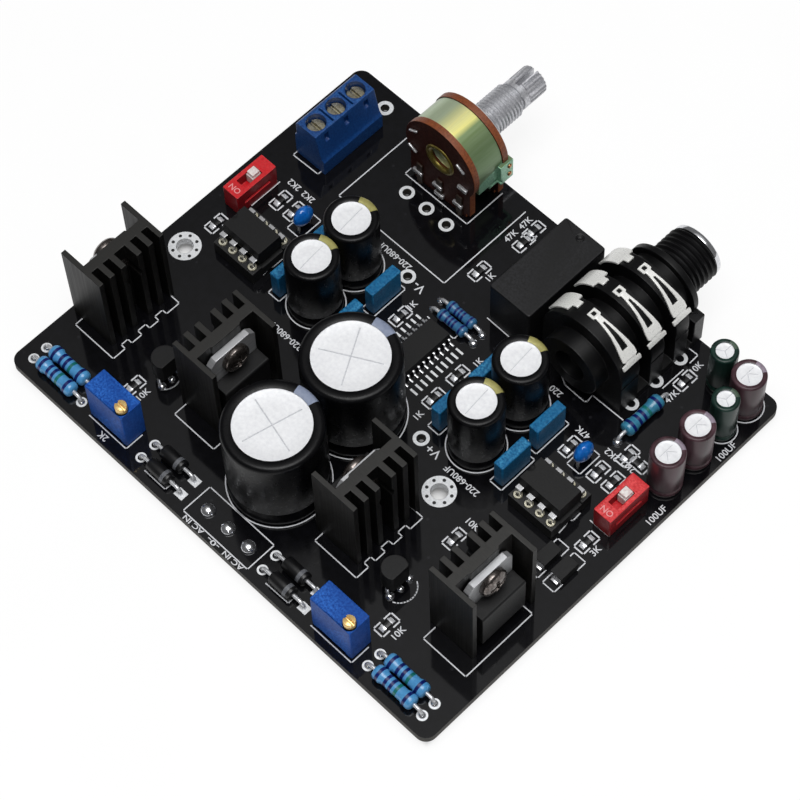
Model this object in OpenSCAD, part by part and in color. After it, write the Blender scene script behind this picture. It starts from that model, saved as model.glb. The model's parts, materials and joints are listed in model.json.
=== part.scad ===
// Stereo headphone amplifier board with its fitted components.
// Places on the board are measured from its left corner, X along the power-supply edge
// and Y towards the edge that carries the volume shaft and the headphone socket.
// The origin is the left mounting hole at the board's underside, +Z up.

/* [Circuit board] */
// Length of the board along X
board_l = 104; // [103:0.5:120]
// Width of the board along Y
board_w = 88; // [87.5:0.5:100]
// Thickness of the bare board
board_t = 1.6; // [1:0.2:2.4]
// Radius of the board's corners
board_corner_r = 2.2; // [0.5:0.1:3]
// Diameter of the mounting holes
mount_hole_d = 3.2; // [2.2:0.1:4.2]
// Left mounting hole, X from the board's left corner
left_hole_x = 5.2; // [4:0.1:7]
// Left mounting hole, Y from the board's left corner
left_hole_y = 37.9; // [34:0.1:42]
// Right mounting hole, X from the board's left corner
right_hole_x = 73.1; // [70:0.1:76]
// Right mounting hole, Y from the board's left corner
right_hole_y = 34.5; // [32:0.1:37]
// Diameter of the empty plated holes
bare_hole_d = 1.3; // [0.8:0.1:1.6]

/* [Leads and solder] */
// Diameter of an ordinary component lead
lead_d = 0.7; // [0.4:0.05:0.9]
// Diameter of the heavy pins of the terminal and the socket
heavy_lead_d = 1.1; // [0.8:0.05:1.4]
// Room between a lead and the wall of its hole
lead_room = 0.15; // [0.1:0.05:0.3]
// Width of a solder joint where it meets the board
solder_d = 1.9; // [1.6:0.1:2.4]
// Height of a solder joint below the board
solder_h = 1.1; // [0.6:0.1:1.6]
// Length of lead left beyond the solder
tip_l = 0.7; // [0.3:0.1:1.5]
// Diameter of the solder domes on the supply input
dome_d = 2.6; // [2:0.1:3.2]
// Height of those domes
dome_h = 0.9; // [0.5:0.1:1.3]

/* [Heatsinks] */
// Width of a heatsink along Y
sink_w = 15; // [14:0.1:16]
// Depth of a heatsink along X
sink_d = 10; // [9:0.1:11]
// Height of a heatsink above the board
sink_h = 20; // [18:0.5:25]
// Thickness of the two side wings
wing_t = 1; // [0.8:0.1:1.4]
// Depth of the recess on the transistor side
recess_d = 4.8; // [4.6:0.1:5.2]
// Thickness of the web between the wings
web_t = 2; // [1.4:0.1:2.4]
// Width of the raised seat on the web
seat_w = 6.4; // [5:0.1:8]
// Height of the raised seat on the web
seat_h = 0.3; // [0.2:0.1:0.6]
// Thickness of the short fins
fin_t = 1.2; // [0.8:0.1:1.4]
// Radius of the round channel in the middle of the fins
channel_r = 1.25; // [0.8:0.05:1.4]

/* [Power transistors] */
// Width of a transistor
device_w = 10.2; // [9.6:0.1:10.6]
// Height of the transistor's plastic body
device_body_h = 9.2; // [8.6:0.1:9.6]
// Thickness of the whole transistor
device_t = 4.5; // [4.2:0.1:4.7]
// Thickness of the metal tab
tab_t = 1.3; // [1:0.05:1.4]
// Height of the tab above the plastic body
tab_rise = 6.3; // [5.8:0.1:6.8]
// Height of the plastic body above the board
device_lift = 2; // [1:0.1:3]
// Distance of the tab's hole from its top
tab_hole_drop = 2.8; // [2.4:0.1:3.2]
// Diameter of the fixing screw
tab_screw_d = 3; // [2.5:0.1:3]
// Room round the fixing screw
tab_screw_room = 0.2; // [0.1:0.05:0.3]
// Diameter of the fixing screw's head
tab_head_d = 5.6; // [5:0.1:6]
// Height of the fixing screw's head
tab_head_h = 1.8; // [1.4:0.1:2.4]
// Spacing of the transistor's legs
device_pitch = 2.54; // [2.4:0.01:2.6]

/* [Electrolytic capacitors] */
// Diameter of the two filter capacitors
filter_d = 18; // [16:0.1:18.2]
// Height of the two filter capacitors
filter_h = 20; // [16:0.5:30]
// Diameter of the four rail capacitors
rail_d = 10; // [8:0.1:10]
// Height of the four rail capacitors
rail_h = 16; // [11:0.5:20]
// Diameter of the brown coupling capacitors
coupling_d = 6.3; // [5:0.1:6.3]
// Diameter of the green bypass capacitors
bypass_d = 5; // [4:0.1:5]
// Height of the coupling and bypass capacitors
small_can_h = 11; // [7:0.5:13]
// Width of the sleeve's rim round a filter capacitor's top
filter_rim_w = 2.1; // [1.2:0.1:2.6]
// Width of the sleeve's rim round a rail capacitor's top
rail_rim_w = 1.5; // [0.8:0.1:1.8]
// Width of the sleeve's rim round a coupling or bypass capacitor's top
small_rim_w = 0.9; // [0.5:0.1:1.1]
// Depth of the bare top below the sleeve's rim
rim_h = 0.35; // [0.2:0.05:0.5]
// Depth of the vent score in the filter capacitors' tops
score_depth = 0.2; // [0.1:0.05:0.3]

/* [Small components] */
// Length of a film capacitor
film_l = 7.2; // [6:0.1:7.4]
// Thickness of a film capacitor
film_t = 2.2; // [1.6:0.1:2.3]
// Height of a film capacitor
film_h = 6.5; // [5:0.1:8]
// Length of a large resistor's body
resistor_l = 9; // [7:0.1:9.5]
// Diameter of a large resistor's end caps
resistor_d = 2.9; // [2:0.1:3]
// Spacing of a large resistor's holes
resistor_pitch = 12.7; // [12:0.1:13.2]
// Length of a small resistor's body
small_resistor_l = 6.3; // [5:0.1:7]
// Diameter of a small resistor's end caps
small_resistor_d = 2.2; // [1.6:0.1:2.2]
// Spacing of a small resistor's holes and of a diode's holes
small_pitch = 10.16; // [9.8:0.02:10.8]
// Length of a rectifier diode's body
diode_l = 5.2; // [4.2:0.1:5.6]
// Diameter of a rectifier diode's body
diode_d = 2.7; // [2:0.1:2.8]
// Diameter of a dipped ceramic capacitor
drop_d = 4.4; // [3.4:0.1:5]
// Thickness of a dipped ceramic capacitor
drop_t = 2.8; // [2:0.1:3.2]
// Length of a chip resistor
chip_l = 2; // [1.6:0.1:2.2]
// Width of a chip resistor
chip_w = 1.25; // [0.8:0.05:1.3]
// Thickness of a chip resistor
chip_t = 0.5; // [0.3:0.05:0.6]

/* [Trimmers] */
// Length of a trimmer
trimmer_l = 9.5; // [9:0.1:10]
// Width of a trimmer
trimmer_w = 4.7; // [4.4:0.1:5]
// Height of a trimmer's body
trimmer_h = 10; // [9:0.1:11]
// Diameter of the trimmer's brass screw
trimmer_screw_d = 2.2; // [1.8:0.1:2.4]
// Height of the brass screw above the body
trimmer_screw_rise = 1.4; // [0.8:0.1:1.8]
// Distance of the brass screw from the body's end and side
trimmer_screw_inset = 1.4; // [1.4:0.05:1.6]
// Running room round the brass screw
trimmer_screw_room = 0.08; // [0.05:0.01:0.1]

/* [Mode switches] */
// Length of a switch along Y
switch_l = 9.8; // [9.6:0.1:10.2]
// Width of a switch along X
switch_w = 3.9; // [3.6:0.1:4.2]
// Height of a switch
switch_h = 5.4; // [4.8:0.1:6]
// Width of the switch's window
window_w = 2.1; // [1.8:0.1:2.4]
// Length of the switch's window
window_l = 4.4; // [4:0.1:4.8]
// Length of the slider's knob along its travel
knob_l = 2.1; // [1.8:0.1:2.2]
// Height of the knob above the switch
knob_rise = 0.8; // [0.4:0.1:1.2]
// Room between the slider and its window
slider_room = 0.15; // [0.1:0.05:0.2]

/* [Amplifier sockets] */
// Spacing of the socket's contacts in a row
socket_pitch = 2.54; // [2.5:0.01:2.6]
// Distance between the two rows of contacts
row_pitch = 7.62; // [7.5:0.02:7.8]
// Width of a socket's rail
rail_w = 2.4; // [2.2:0.1:2.6]
// Height of the socket's frame
socket_h = 3; // [2.6:0.1:3.4]
// Diameter of a turned contact
contact_d = 1.6; // [1.4:0.05:1.7]
// Length of the amplifier's body
opamp_l = 9.3; // [9:0.1:9.8]
// Width of the amplifier's body
opamp_w = 6; // [5.8:0.1:6.2]
// Thickness of the amplifier's body
opamp_t = 3.3; // [3:0.1:3.5]

/* [Screw terminal] */
// Spacing of the three poles
pole_pitch = 5; // [5:0.02:5.2]
// Depth of the terminal along X
terminal_d = 7.6; // [7.4:0.1:8]
// Height of the terminal
terminal_h = 10; // [9.6:0.1:10.6]
// Width of the flat top
terminal_top_w = 4.7; // [4.5:0.1:5]
// Width of a wire entry
entry_w = 3.6; // [3.2:0.1:3.8]
// Height of a wire entry
entry_h = 3.7; // [3.4:0.1:3.9]
// Diameter of a terminal screw's head
screw_head_d = 3.5; // [3:0.1:3.6]
// Diameter of a terminal screw's shank
screw_shank_d = 2.5; // [2:0.1:2.6]
// Running room round a terminal screw
screw_room = 0.12; // [0.08:0.01:0.15]
// Height that the wire clamp can rise
clamp_travel = 1.5; // [1:0.1:1.6]

/* [Relay] */
// Length of the relay along Y
relay_l = 19.6; // [18:0.1:20.4]
// Width of the relay along X
relay_w = 9.6; // [9:0.1:10]
// Height of the relay
relay_h = 11.5; // [10:0.1:12.5]

/* [Volume control] */
// Height of the shaft's centre above the board
pot_axis_h = 12; // [11.4:0.1:13]
// Diameter of the control's metal can
pot_can_d = 16.8; // [16:0.1:17]
// Length of the can between the two wafers
pot_can_l = 5.9; // [5:0.1:7]
// Diameter of the round part of a wafer
wafer_d = 17.2; // [16.6:0.1:17.6]
// Thickness of a wafer
wafer_t = 1.4; // [1:0.1:1.6]
// Width of the wafer's foot
wafer_foot_w = 15; // [13:0.1:16]
// Thickness of the bushing's plate
plate_t = 1; // [0.8:0.1:1.4]
// Diameter of the threaded bushing
bushing_d = 6.9; // [6.7:0.1:7.2]
// Length of the threaded bushing
bushing_l = 8.4; // [6:0.1:9]
// Diameter of the shaft
shaft_d = 6; // [5.8:0.05:6.1]
// Length of shaft that stands out of the bushing
shaft_l = 6.7; // [6:0.1:15]
// Width of the groove in the shaft at the bushing's mouth
shaft_groove_w = 0.8; // [0.4:0.1:1.2]
// Depth of that groove
shaft_groove_depth = 0.3; // [0.2:0.05:0.5]
// Running room of the shaft in the bushing
shaft_room = 0.06; // [0.03:0.01:0.1]
// Width of the slot that splits the shaft's end
shaft_slot_w = 1; // [0.6:0.1:1.2]
// Length of that slot
shaft_slot_l = 5; // [3:0.1:6]
// Spacing of the control's pins
pot_pin_pitch = 5; // [4.8:0.1:5.2]

/* [Headphone socket] */
// Height of the socket's bore above the board
jack_axis_h = 9.5; // [9.3:0.1:10]
// Radius of the round top of the housing
jack_r = 9.3; // [9:0.1:9.3]
// Length of the housing behind the panel
jack_body_l = 21.4; // [21:0.1:22]
// Diameter of the threaded nose
jack_nose_d = 11; // [10:0.1:12]
// Length of the threaded nose
jack_nose_l = 8.4; // [6:0.1:8.6]
// Diameter of the plug's bore
jack_bore_d = 6.5; // [6.4:0.05:6.6]
// Depth of the plug's bore from the nose's face
jack_bore_l = 30; // [28:0.5:31]
// Length of the bright ring at the nose's end
jack_ring_l = 1.2; // [0.6:0.1:1.4]
// Width of a contact spring
spring_w = 2.8; // [2.2:0.1:3]
// Thickness of a contact spring
spring_t = 0.4; // [0.3:0.05:0.5]
// Spacing of the contact springs along the bore
spring_pitch = 6.3; // [6:0.05:6.4]
// Depth of the chambers between the housing's ribs
chamber_depth = 3; // [2:0.1:3.4]

/* [Hidden] */
round_fn = 48;
small_fn = 24;
cut_extra = 0.5;
left_hole = [left_hole_x, left_hole_y];
mount_holes = [left_hole, [right_hole_x, right_hole_y]];

// Places of the components, from the board's left corner.
// They are drawn for a board of the layout's length and spread along X with the board.
layout_l = 104;
function fit(list) = [for (p = list) [p[0] * board_l / layout_l, each [for (i = [1:len(p) - 1]) p[i]]]];

supply_pads = fit([[47.3, 4.2], [52.3, 4.2], [57.3, 4.2]]);
bare_holes = fit([[26, 74], [31, 74], [36, 74], [38.7, 61.4], [63.6, 39.7], [9.9, 84.4]]);
filter_at = fit([[51.7, 35.3], [51.7, 16.9]]);
rail_at = fit([[30.3, 56.3], [30.9, 46], [71.1, 56.5], [71.4, 45.4]]);
coupling_at = fit([[99.2, 83.5], [99.5, 70.1], [99.4, 62.8]]);
bypass_offset = [-6.1, 0.6];
bypass_at = concat([coupling_at[0] + bypass_offset], fit([[99.5, 77.2]]));
film_offset = [[-6.3, -0.9], [-6.4, -0.2]];
film_at = concat(
    fit([[38.9, 55.1], [39.1, 45.6], [64.2, 55.3], [64, 46.4], [78.6, 55.5], [79.2, 46.2]]),
    [for (i = [0, 1]) rail_at[i] + film_offset[i]]
);
drop_at = fit([[17.45, 56.1], [86.5, 56.2]]);
resistor_at = fit([
    [9.45, 3.2, 0], [9.45, 6.25, 0], [93.75, 3.05, 0], [93.75, 5.95, 0], [88.4, 69.2, 90]
]);
small_resistor_at = fit([[51.7, 61.9, 0], [51.7, 59.6, 0]]);
diode_at = fit([[36.5, 3.1, 0], [36.4, 6.45, 0], [67.2, 2.95, 0], [66.9, 6.4, 0]]);
regulator_at = fit([[22.8, 17.4], [80.2, 16.8]]);
chip_at = fit([
    [10.65, 56.8, 90], [14.2, 56.9, 90], [5.8, 45.2, 90], [20, 11.8, 90], [43.65, 54.6, 90],
    [59.4, 53.1, 90], [59.6, 46.9, 90], [47.2, 71.1, 90], [48.3, 84.1, 90], [48.7, 81, 90],
    [83.2, 56.5, 90], [90, 56.3, 90], [93.2, 56.6, 90], [97.8, 45.1, 90], [93.7, 62.2, 0],
    [91.5, 62.1, 90], [88.6, 80, 90], [84.4, 10.5, 90], [81.3, 29.9, 90]
]);
surface_diode_at = fit([[95.1, 38.3], [98.9, 38.3]]);
amplifier_chip_at = fit([[50.85, 51.05]])[0];
sink_at = fit([[6.2, 22.2, -1], [33.3, 23.3, 1], [68, 22.4, -1], [94, 23.6, 1]]);
socket_at = fit([[14.9, 46], [88, 46.2]]);
switch_at = fit([[5.6, 54.2], [97.9, 53.3]]);
trimmer_at = fit([[23.35, 5.15], [79.95, 4.3]]);
terminal_at = fit([[4.9, 73.8]])[0];
pot_at = fit([[31, 77.6]])[0];
jack_at = fit([[75.5, 88.6]])[0];
relay_offset = [-15.55, -13.6];
relay_at = jack_at + relay_offset;

// Power transistor places, worked out from the heatsinks
seat_x = sink_d / 2 - recess_d + seat_h;
leg_setback = 1.3;
leg_x = seat_x + tab_t + leg_setback;
tab_top = device_lift + device_body_h + tab_rise;
tab_hole_z = tab_top - tab_hole_drop;
fin_gap = (sink_w - 2 * wing_t - 4 * fin_t - 2 * channel_r) / 4;
fin_depth = sink_d - recess_d - web_t;

// Lead spacings
filter_pitch = 7.5;
rail_pitch = 5;
small_can_pitch = 2.5;
film_pitch = 5;
drop_pitch = 2.54;
regulator_pitch = 2;
trimmer_pitch = 2.54;
relay_row = 7.62;
relay_pin_pitch = 5.08;

// Heights of raised bodies and depths of wells
drop_lift = 1.2;
drop_sink = 0.5;
regulator_lift = 2.2;
trimmer_well = 1.2;
contact_rise = 0.2;
rest_gap = 0.05;

// Volume control stations along Y, from the rear face of its rear wafer
pot_rear_y = pot_at[1];
can_y = pot_rear_y + wafer_t;
front_wafer_y = can_y + pot_can_l;
plate_y = front_wafer_y + wafer_t;
bushing_y = plate_y + plate_t;
plate_share = 0.82;
shaft_end_y = bushing_y + bushing_l + shaft_l;
shaft_nest = 0.4;
strip_t = 0.4;
pot_pin_y = [pot_rear_y - strip_t / 2, front_wafer_y - strip_t / 2];

// Headphone socket stations along Y, from the panel face of its housing
jack_front_y = jack_at[1];
jack_rear_y = jack_front_y - jack_body_l;
flange_t = 2.6;
rear_boss_l = 3.2;
side_drop = 1.6;
spring_seat = 0.06;
spring_r = jack_r + spring_seat;
spring_end_angle = 22;
strip_x = spring_r * cos(spring_end_angle);
tail_room = 0.1;
tail_setback = 1.25;
tail_w = 1.6;
pin_w = 1;
tail_x = jack_r - tail_setback;
tail_h = jack_axis_h + spring_r * sin(spring_end_angle) + spring_t;
first_spring = 2.9;
spring_y = [for (i = [0:2]) jack_rear_y + first_spring + i * spring_pitch];

// Strips of the headphone socket as [angle round the bore, share of the spring's width]
spring_outline = [
    [spring_end_angle, 1.55], [27, 1.55], [28, 0.85], [30, 0.85], [32, 1.2], [39, 1.2],
    [62, 0.7], [80, 0.45], [87, 0.4], [88, 0.68], [97, 0.68]
];
spring_slot = [[43, 0.5], [62, 0.32], [79, 0.15]];
hook_slot = [[90, 0.3], [95, 0.3]];
contact_outline = [
    [111, 0.55], [119, 0.55],
    for (i = [0:6]) [120 + i * (60 - spring_end_angle) / 6, 1.35]
];

// Screw terminal levels above the board
pole_y = [for (i = [-1:1]) terminal_at[1] + i * pole_pitch];
screw_x = 3.3;
shelf_t = 0.8;
screw_sink = 1.4;
screw_head_h = 0.9;
shelf_z = terminal_h - screw_sink - screw_head_h - shelf_t;
cavity_floor = 1;
terminal_slope = 0.44;
terminal_lip = 0.5;
top_start = 1;
top_end = top_start + terminal_top_w;
clamp_room = 0.1;
clamp_base = cavity_floor + clamp_room;
clamp_wall = 0.9;
clamp_roof = 1;
clamp_d = 3.8;
pole_wall = 0.45;
cavity_w = pole_pitch - 2 * pole_wall;
clamp_h = shelf_z - clamp_room - clamp_base - clamp_travel;
cavity_x = screw_x - clamp_d / 2 - clamp_room;
bar_t = 0.6;
bar_w = 2;
bar_x = screw_x + clamp_d / 2 + 2 * clamp_room;
bar_top = clamp_base + clamp_h - clamp_roof - clamp_room;
terminal_pin_x = bar_x + bar_t / 2;

function spread(c, step, count) = [for (i = [0:count - 1]) c + (i - (count - 1) / 2) * step];
function ends(c, pitch) = [for (s = [-1, 1]) [c[0], c[1]] + s * pitch / 2 * [cos(c[2]), sin(c[2])]];
function along_y(c, pitch, count) = [for (y = spread(c[1], pitch, count)) [c[0], y]];
function along_x(c, pitch, count) = [for (x = spread(c[0], pitch, count)) [x, c[1]]];
function joined(lists) = [for (l = lists) for (p = l) p];

resistor_leads = joined([for (c = resistor_at) ends(c, resistor_pitch)]);
small_axial_leads = joined([for (c = concat(small_resistor_at, diode_at)) ends(c, small_pitch)]);
filter_leads = joined([for (c = filter_at) along_y(c, filter_pitch, 2)]);
rail_leads = joined([for (c = rail_at) along_y(c, rail_pitch, 2)]);
small_can_leads = joined([for (c = concat(coupling_at, bypass_at)) along_y(c, small_can_pitch, 2)]);
film_leads = joined([for (c = film_at) along_y(c, film_pitch, 2)]);
drop_leads = joined([for (c = drop_at) along_y(c, drop_pitch, 2)]);
regulator_leads = joined([for (c = regulator_at) along_y(c, regulator_pitch, 3)]);
trimmer_leads = joined([for (c = trimmer_at) along_x(c, trimmer_pitch, 3)]);
relay_rows = [for (x = spread(relay_at[0], relay_row, 2)) [x, relay_at[1]]];
relay_leads = joined([for (c = relay_rows) along_y(c, relay_pin_pitch, 4)]);
switch_leads = joined([for (c = switch_at) along_y(c, row_pitch, 2)]);
socket_rows = [for (c = socket_at, y = spread(c[1], row_pitch, 2)) [c[0], y]];
socket_leads = joined([for (c = socket_rows) along_x(c, socket_pitch, 4)]);
device_leads = joined([for (c = sink_at) along_y([c[0] + c[2] * leg_x, c[1]], device_pitch, 3)]);
pot_leads = [for (x = spread(pot_at[0], pot_pin_pitch, 3), y = pot_pin_y) [x, y]];
terminal_leads = [for (y = pole_y) [terminal_at[0] + terminal_pin_x, y]];
jack_leads = [for (s = [-1, 1], y = spring_y) [jack_at[0] + s * tail_x, y]];

standing_leads = concat(
    filter_leads, rail_leads, small_can_leads, film_leads, trimmer_leads, relay_leads, switch_leads
);
own_leads = concat(
    resistor_leads, small_axial_leads, drop_leads, regulator_leads, socket_leads, device_leads, pot_leads
);
fine_leads = concat(standing_leads, own_leads);
heavy_leads = concat(terminal_leads, jack_leads);

module at(p, z = board_t)
    translate([p[0] - left_hole[0], p[1] - left_hole[1], z]) children();

module rounded_rect(l, w, r) {
    square([l - 2 * r, w], center = true);
    square([l, w - 2 * r], center = true);
    for (sx = [-1, 1], sy = [-1, 1])
        translate([sx * (l / 2 - r), sy * (w / 2 - r)])
            circle(r, $fn = small_fn);
}

module rounded_block(l, w, h, r)
    linear_extrude(h)
        rounded_rect(l, w, r);

// A box centred in X and Y with its base at the local zero
module block(l, w, h)
    translate([-l / 2, -w / 2, 0])
        cube([l, w, h]);

// A cylinder whose axis runs along +Y from the local origin
module rod_y(d, l, fn = round_fn)
    rotate([-90, 0, 0])
        cylinder(d = d, h = l, $fn = fn);

// A cylinder whose axis runs along +X from the local origin
module rod_x(d, l, fn = small_fn)
    rotate([0, 90, 0])
        cylinder(d = d, h = l, $fn = fn);

module drill(p, d)
    at(p, -cut_extra)
        cylinder(d = d, h = board_t + 2 * cut_extra, $fn = small_fn);

module circuit_board() {
    color("#16181b")
        difference() {
            at([board_l / 2, board_w / 2], 0)
                rounded_block(board_l, board_w, board_t, board_corner_r);
            for (p = mount_holes) drill(p, mount_hole_d);
            for (p = fine_leads) drill(p, lead_d + 2 * lead_room);
            for (p = heavy_leads) drill(p, heavy_lead_d + 2 * lead_room);
            for (p = bare_holes) drill(p, bare_hole_d);
        }
}

module solder_joint(p, d) {
    spread_d = 0.8;
    at(p, -solder_h)
        cylinder(d1 = d, d2 = max(solder_d, d + spread_d), h = solder_h, $fn = small_fn);
    at(p, -solder_h - tip_l)
        cylinder(d = d, h = tip_l, $fn = small_fn);
}

// A low solder dome turned from a quarter arc
module solder_dome(d, h)
    rotate_extrude($fn = round_fn)
        polygon(concat([[0, 0]], [for (a = [0:15:90]) [d / 2 * cos(a), h * sin(a)]]));

module solder_joints() {
    color("#c9ccd0") {
        for (p = fine_leads) solder_joint(p, lead_d);
        for (p = heavy_leads) solder_joint(p, heavy_lead_d);
        for (p = supply_pads) {
            at(p) solder_dome(dome_d, dome_h);
            at(p, 0) mirror([0, 0, 1]) solder_dome(dome_d, dome_h);
        }
    }
}

module through_lead(p)
    at(p, 0)
        cylinder(d = lead_d, h = board_t, $fn = small_fn);

// A wire that leaves a body at the given height, bends down and passes the board
module bent_lead(reach, rise) {
    bend = 1.2;
    translate([0, 0, rise])
        rod_x(lead_d, reach - bend);
    translate([reach - bend, 0, rise - bend])
        rotate([90, 0, 0])
            rotate_extrude(angle = 90, $fn = round_fn)
                translate([bend, 0])
                    circle(d = lead_d, $fn = small_fn);
    translate([reach, 0, -board_t])
        cylinder(d = lead_d, h = rise - bend + board_t, $fn = small_fn);
}

module axial_leads(c, pitch, body_l, rise)
    at(c)
        rotate(c[2])
            for (turn = [0, 180])
                rotate(turn)
                    translate([body_l / 2, 0, 0])
                        bent_lead((pitch - body_l) / 2, rise);

module component_leads() {
    color("#cfd2d6") {
        for (p = standing_leads) through_lead(p);
        for (c = resistor_at) axial_leads(c, resistor_pitch, resistor_l, resistor_d / 2);
        for (c = small_resistor_at) axial_leads(c, small_pitch, small_resistor_l, small_resistor_d / 2);
        for (c = diode_at) axial_leads(c, small_pitch, diode_l, diode_d / 2);
        for (p = drop_leads)
            at(p, 0) cylinder(d = lead_d, h = board_t + drop_lift, $fn = small_fn);
        for (p = regulator_leads)
            at(p, 0) cylinder(d = lead_d, h = board_t + regulator_lift, $fn = small_fn);
    }
}

// Screw terminal, drawn from the middle of its wire side with X pointing inwards
module terminal_profile() {
    step = 0.7;
    ledge_h = terminal_h * 0.36;
    slope_h = terminal_h * terminal_slope;
    lip_h = terminal_h * 0.6;
    edge = top_start - terminal_lip;
    polygon([
        [0, 0], [terminal_d, 0], [terminal_d, ledge_h], [terminal_d - step, slope_h],
        [top_end, terminal_h], [top_start, terminal_h],
        [terminal_lip, terminal_h - edge], [terminal_lip, lip_h + terminal_lip / 2],
        [0, lip_h - terminal_lip / 2]
    ]);
}

module pole_cavity() {
    cavity_l = clamp_d + 2 * clamp_room;
    translate([cavity_x, -cavity_w / 2, cavity_floor])
        cube([cavity_l, cavity_w, shelf_z - cavity_floor]);
    translate([-cut_extra, -entry_w / 2, cavity_floor])
        cube([cavity_x + 2 * cut_extra, entry_w, entry_h]);
    translate([screw_x, 0, shelf_z - cut_extra])
        cylinder(d = screw_shank_d + 2 * screw_room, h = shelf_t + 2 * cut_extra, $fn = round_fn);
    translate([screw_x, 0, shelf_z + shelf_t])
        cylinder(d = screw_head_d + 2 * screw_room, h = terminal_h, $fn = round_fn);
    translate([bar_x - clamp_room - cut_extra, -bar_w / 2 - clamp_room, -cut_extra])
        cube([bar_t + 2 * clamp_room + cut_extra, bar_w + 2 * clamp_room, bar_top + clamp_room + cut_extra]);
}

module terminal_housing() {
    slit_w = 0.4;
    slit_h = 0.8;
    slit_inset = 0.5;
    notch_inset = 0.2;
    notch_w = 1;
    notch_h = 1.9;
    notch_drop = 0.9;
    color("#2f5aa0")
        at(terminal_at)
            difference() {
                translate([0, 1.5 * pole_pitch, 0])
                    rotate([90, 0, 0])
                        linear_extrude(3 * pole_pitch)
                            terminal_profile();
                for (i = [-1:1])
                    translate([0, i * pole_pitch, 0]) {
                        pole_cavity();
                        translate([top_end - notch_inset, -notch_w / 2, terminal_h - notch_drop - notch_h])
                            cube([terminal_d, notch_w, notch_h]);
                    }
                for (s = [-0.5, 0.5])
                    translate([top_start + slit_inset, s * pole_pitch - slit_w / 2, terminal_h - slit_h])
                        cube([terminal_top_w - 2 * slit_inset, slit_w, slit_h + cut_extra]);
            }
}

module terminal_contacts() {
    color("#c8b878")
        for (y = pole_y)
            at([terminal_at[0], y]) {
                translate([cavity_x + clamp_room, -bar_w / 2, bar_top - bar_t])
                    cube([bar_x + bar_t - cavity_x - clamp_room, bar_w, bar_t]);
                translate([bar_x, -bar_w / 2, 0])
                    cube([bar_t, bar_w, bar_top]);
                translate([terminal_pin_x, 0, -board_t])
                    cylinder(d = heavy_lead_d, h = board_t, $fn = small_fn);
            }
}

module terminal_screw(y) {
    slot_w = 0.6;
    slot_h = 0.6;
    grip_l = 0.9;
    shank_l = shelf_t + clamp_travel + grip_l;
    color("#c4c8cd")
        at([terminal_at[0] + screw_x, y])
            translate([0, 0, shelf_z + shelf_t + rest_gap])
                difference() {
                    union() {
                        cylinder(d = screw_head_d, h = screw_head_h, $fn = round_fn);
                        translate([0, 0, -shank_l])
                            cylinder(d = screw_shank_d, h = shank_l, $fn = round_fn);
                    }
                    translate([-screw_head_d, -slot_w / 2, screw_head_h - slot_h])
                        cube([2 * screw_head_d, slot_w, slot_h + cut_extra]);
                }
}

module terminal_screw_1() terminal_screw(pole_y[0]);
module terminal_screw_2() terminal_screw(pole_y[1]);
module terminal_screw_3() terminal_screw(pole_y[2]);

// A rising cage: the wire is squeezed between its floor and the contact bar
module terminal_clamp(y) {
    cage_w = cavity_w - 2 * clamp_room;
    cheek = 0.7;
    window_w = cage_w - 2 * cheek;
    hole_d = screw_shank_d + 2 * screw_room;
    color("#b9bdc2")
        at([terminal_at[0] + screw_x, y])
            translate([0, 0, clamp_base])
                difference() {
                    block(clamp_d, cage_w, clamp_h);
                    translate([0, 0, clamp_wall])
                        block(clamp_d + 2 * cut_extra, window_w, clamp_h - clamp_wall - clamp_roof);
                    translate([0, 0, clamp_h - clamp_roof - cut_extra])
                        cylinder(d = hole_d, h = clamp_roof + 2 * cut_extra, $fn = round_fn);
                }
}

module terminal_clamp_1() terminal_clamp(pole_y[0]);
module terminal_clamp_2() terminal_clamp(pole_y[1]);
module terminal_clamp_3() terminal_clamp(pole_y[2]);

// Volume control: pieces are drawn round its axis, which runs along +Y
module on_pot_axis(y)
    at([pot_at[0], y], board_t + pot_axis_h)
        children();

module volume_can() {
    strap_t = 0.9;
    strap_top = 0.4;
    strap_rear = -1.4;
    strap_low = -4.2;
    hook_low = -5.2;
    hook_y = pot_can_l * 0.45;
    strap = [
        [0, strap_rear], [0, strap_low], [hook_y, strap_low], [hook_y, hook_low],
        [pot_can_l, hook_low], [pot_can_l, strap_top]
    ];
    slot = [3 * strap_t, pot_can_l * 0.3, 0.8];
    slot_inset = 0.6;
    strap_x = pot_can_d / 2 - strap_t;
    ear_t = 0.6;
    ear_l = 1.2;
    ear_x = wafer_d / 2 + spring_seat;
    fold_x = pot_can_d * plate_share / 2 + 2 * spring_seat;
    color("#c5cb92")
        on_pot_axis(can_y)
            difference() {
                union() {
                    rod_y(pot_can_d, pot_can_l);
                    for (s = [0, 1])
                        mirror([s, 0, 0]) {
                            translate([strap_x, 0, 0])
                                rotate([90, 0, 90])
                                    linear_extrude(strap_t)
                                        polygon(strap);
                            translate([strap_x, pot_can_l - ear_l, hook_low])
                                cube([ear_x + ear_t - strap_x, ear_l, -hook_low]);
                            translate([ear_x, pot_can_l - cut_extra, hook_low])
                                cube([ear_t, wafer_t + ear_t + cut_extra, -hook_low]);
                            translate([fold_x, pot_can_l + wafer_t, hook_low])
                                cube([ear_x + ear_t - fold_x, ear_t, -hook_low]);
                        }
                }
                translate([0, -cut_extra, 0])
                    rod_y(shaft_d + 2 * shaft_nest, pot_can_l + 2 * cut_extra);
                for (s = [-1, 1])
                    translate([s * pot_can_d / 2 - slot[0] / 2, hook_y + slot_inset, hook_low + slot_inset])
                        cube(slot);
            }
}

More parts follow.
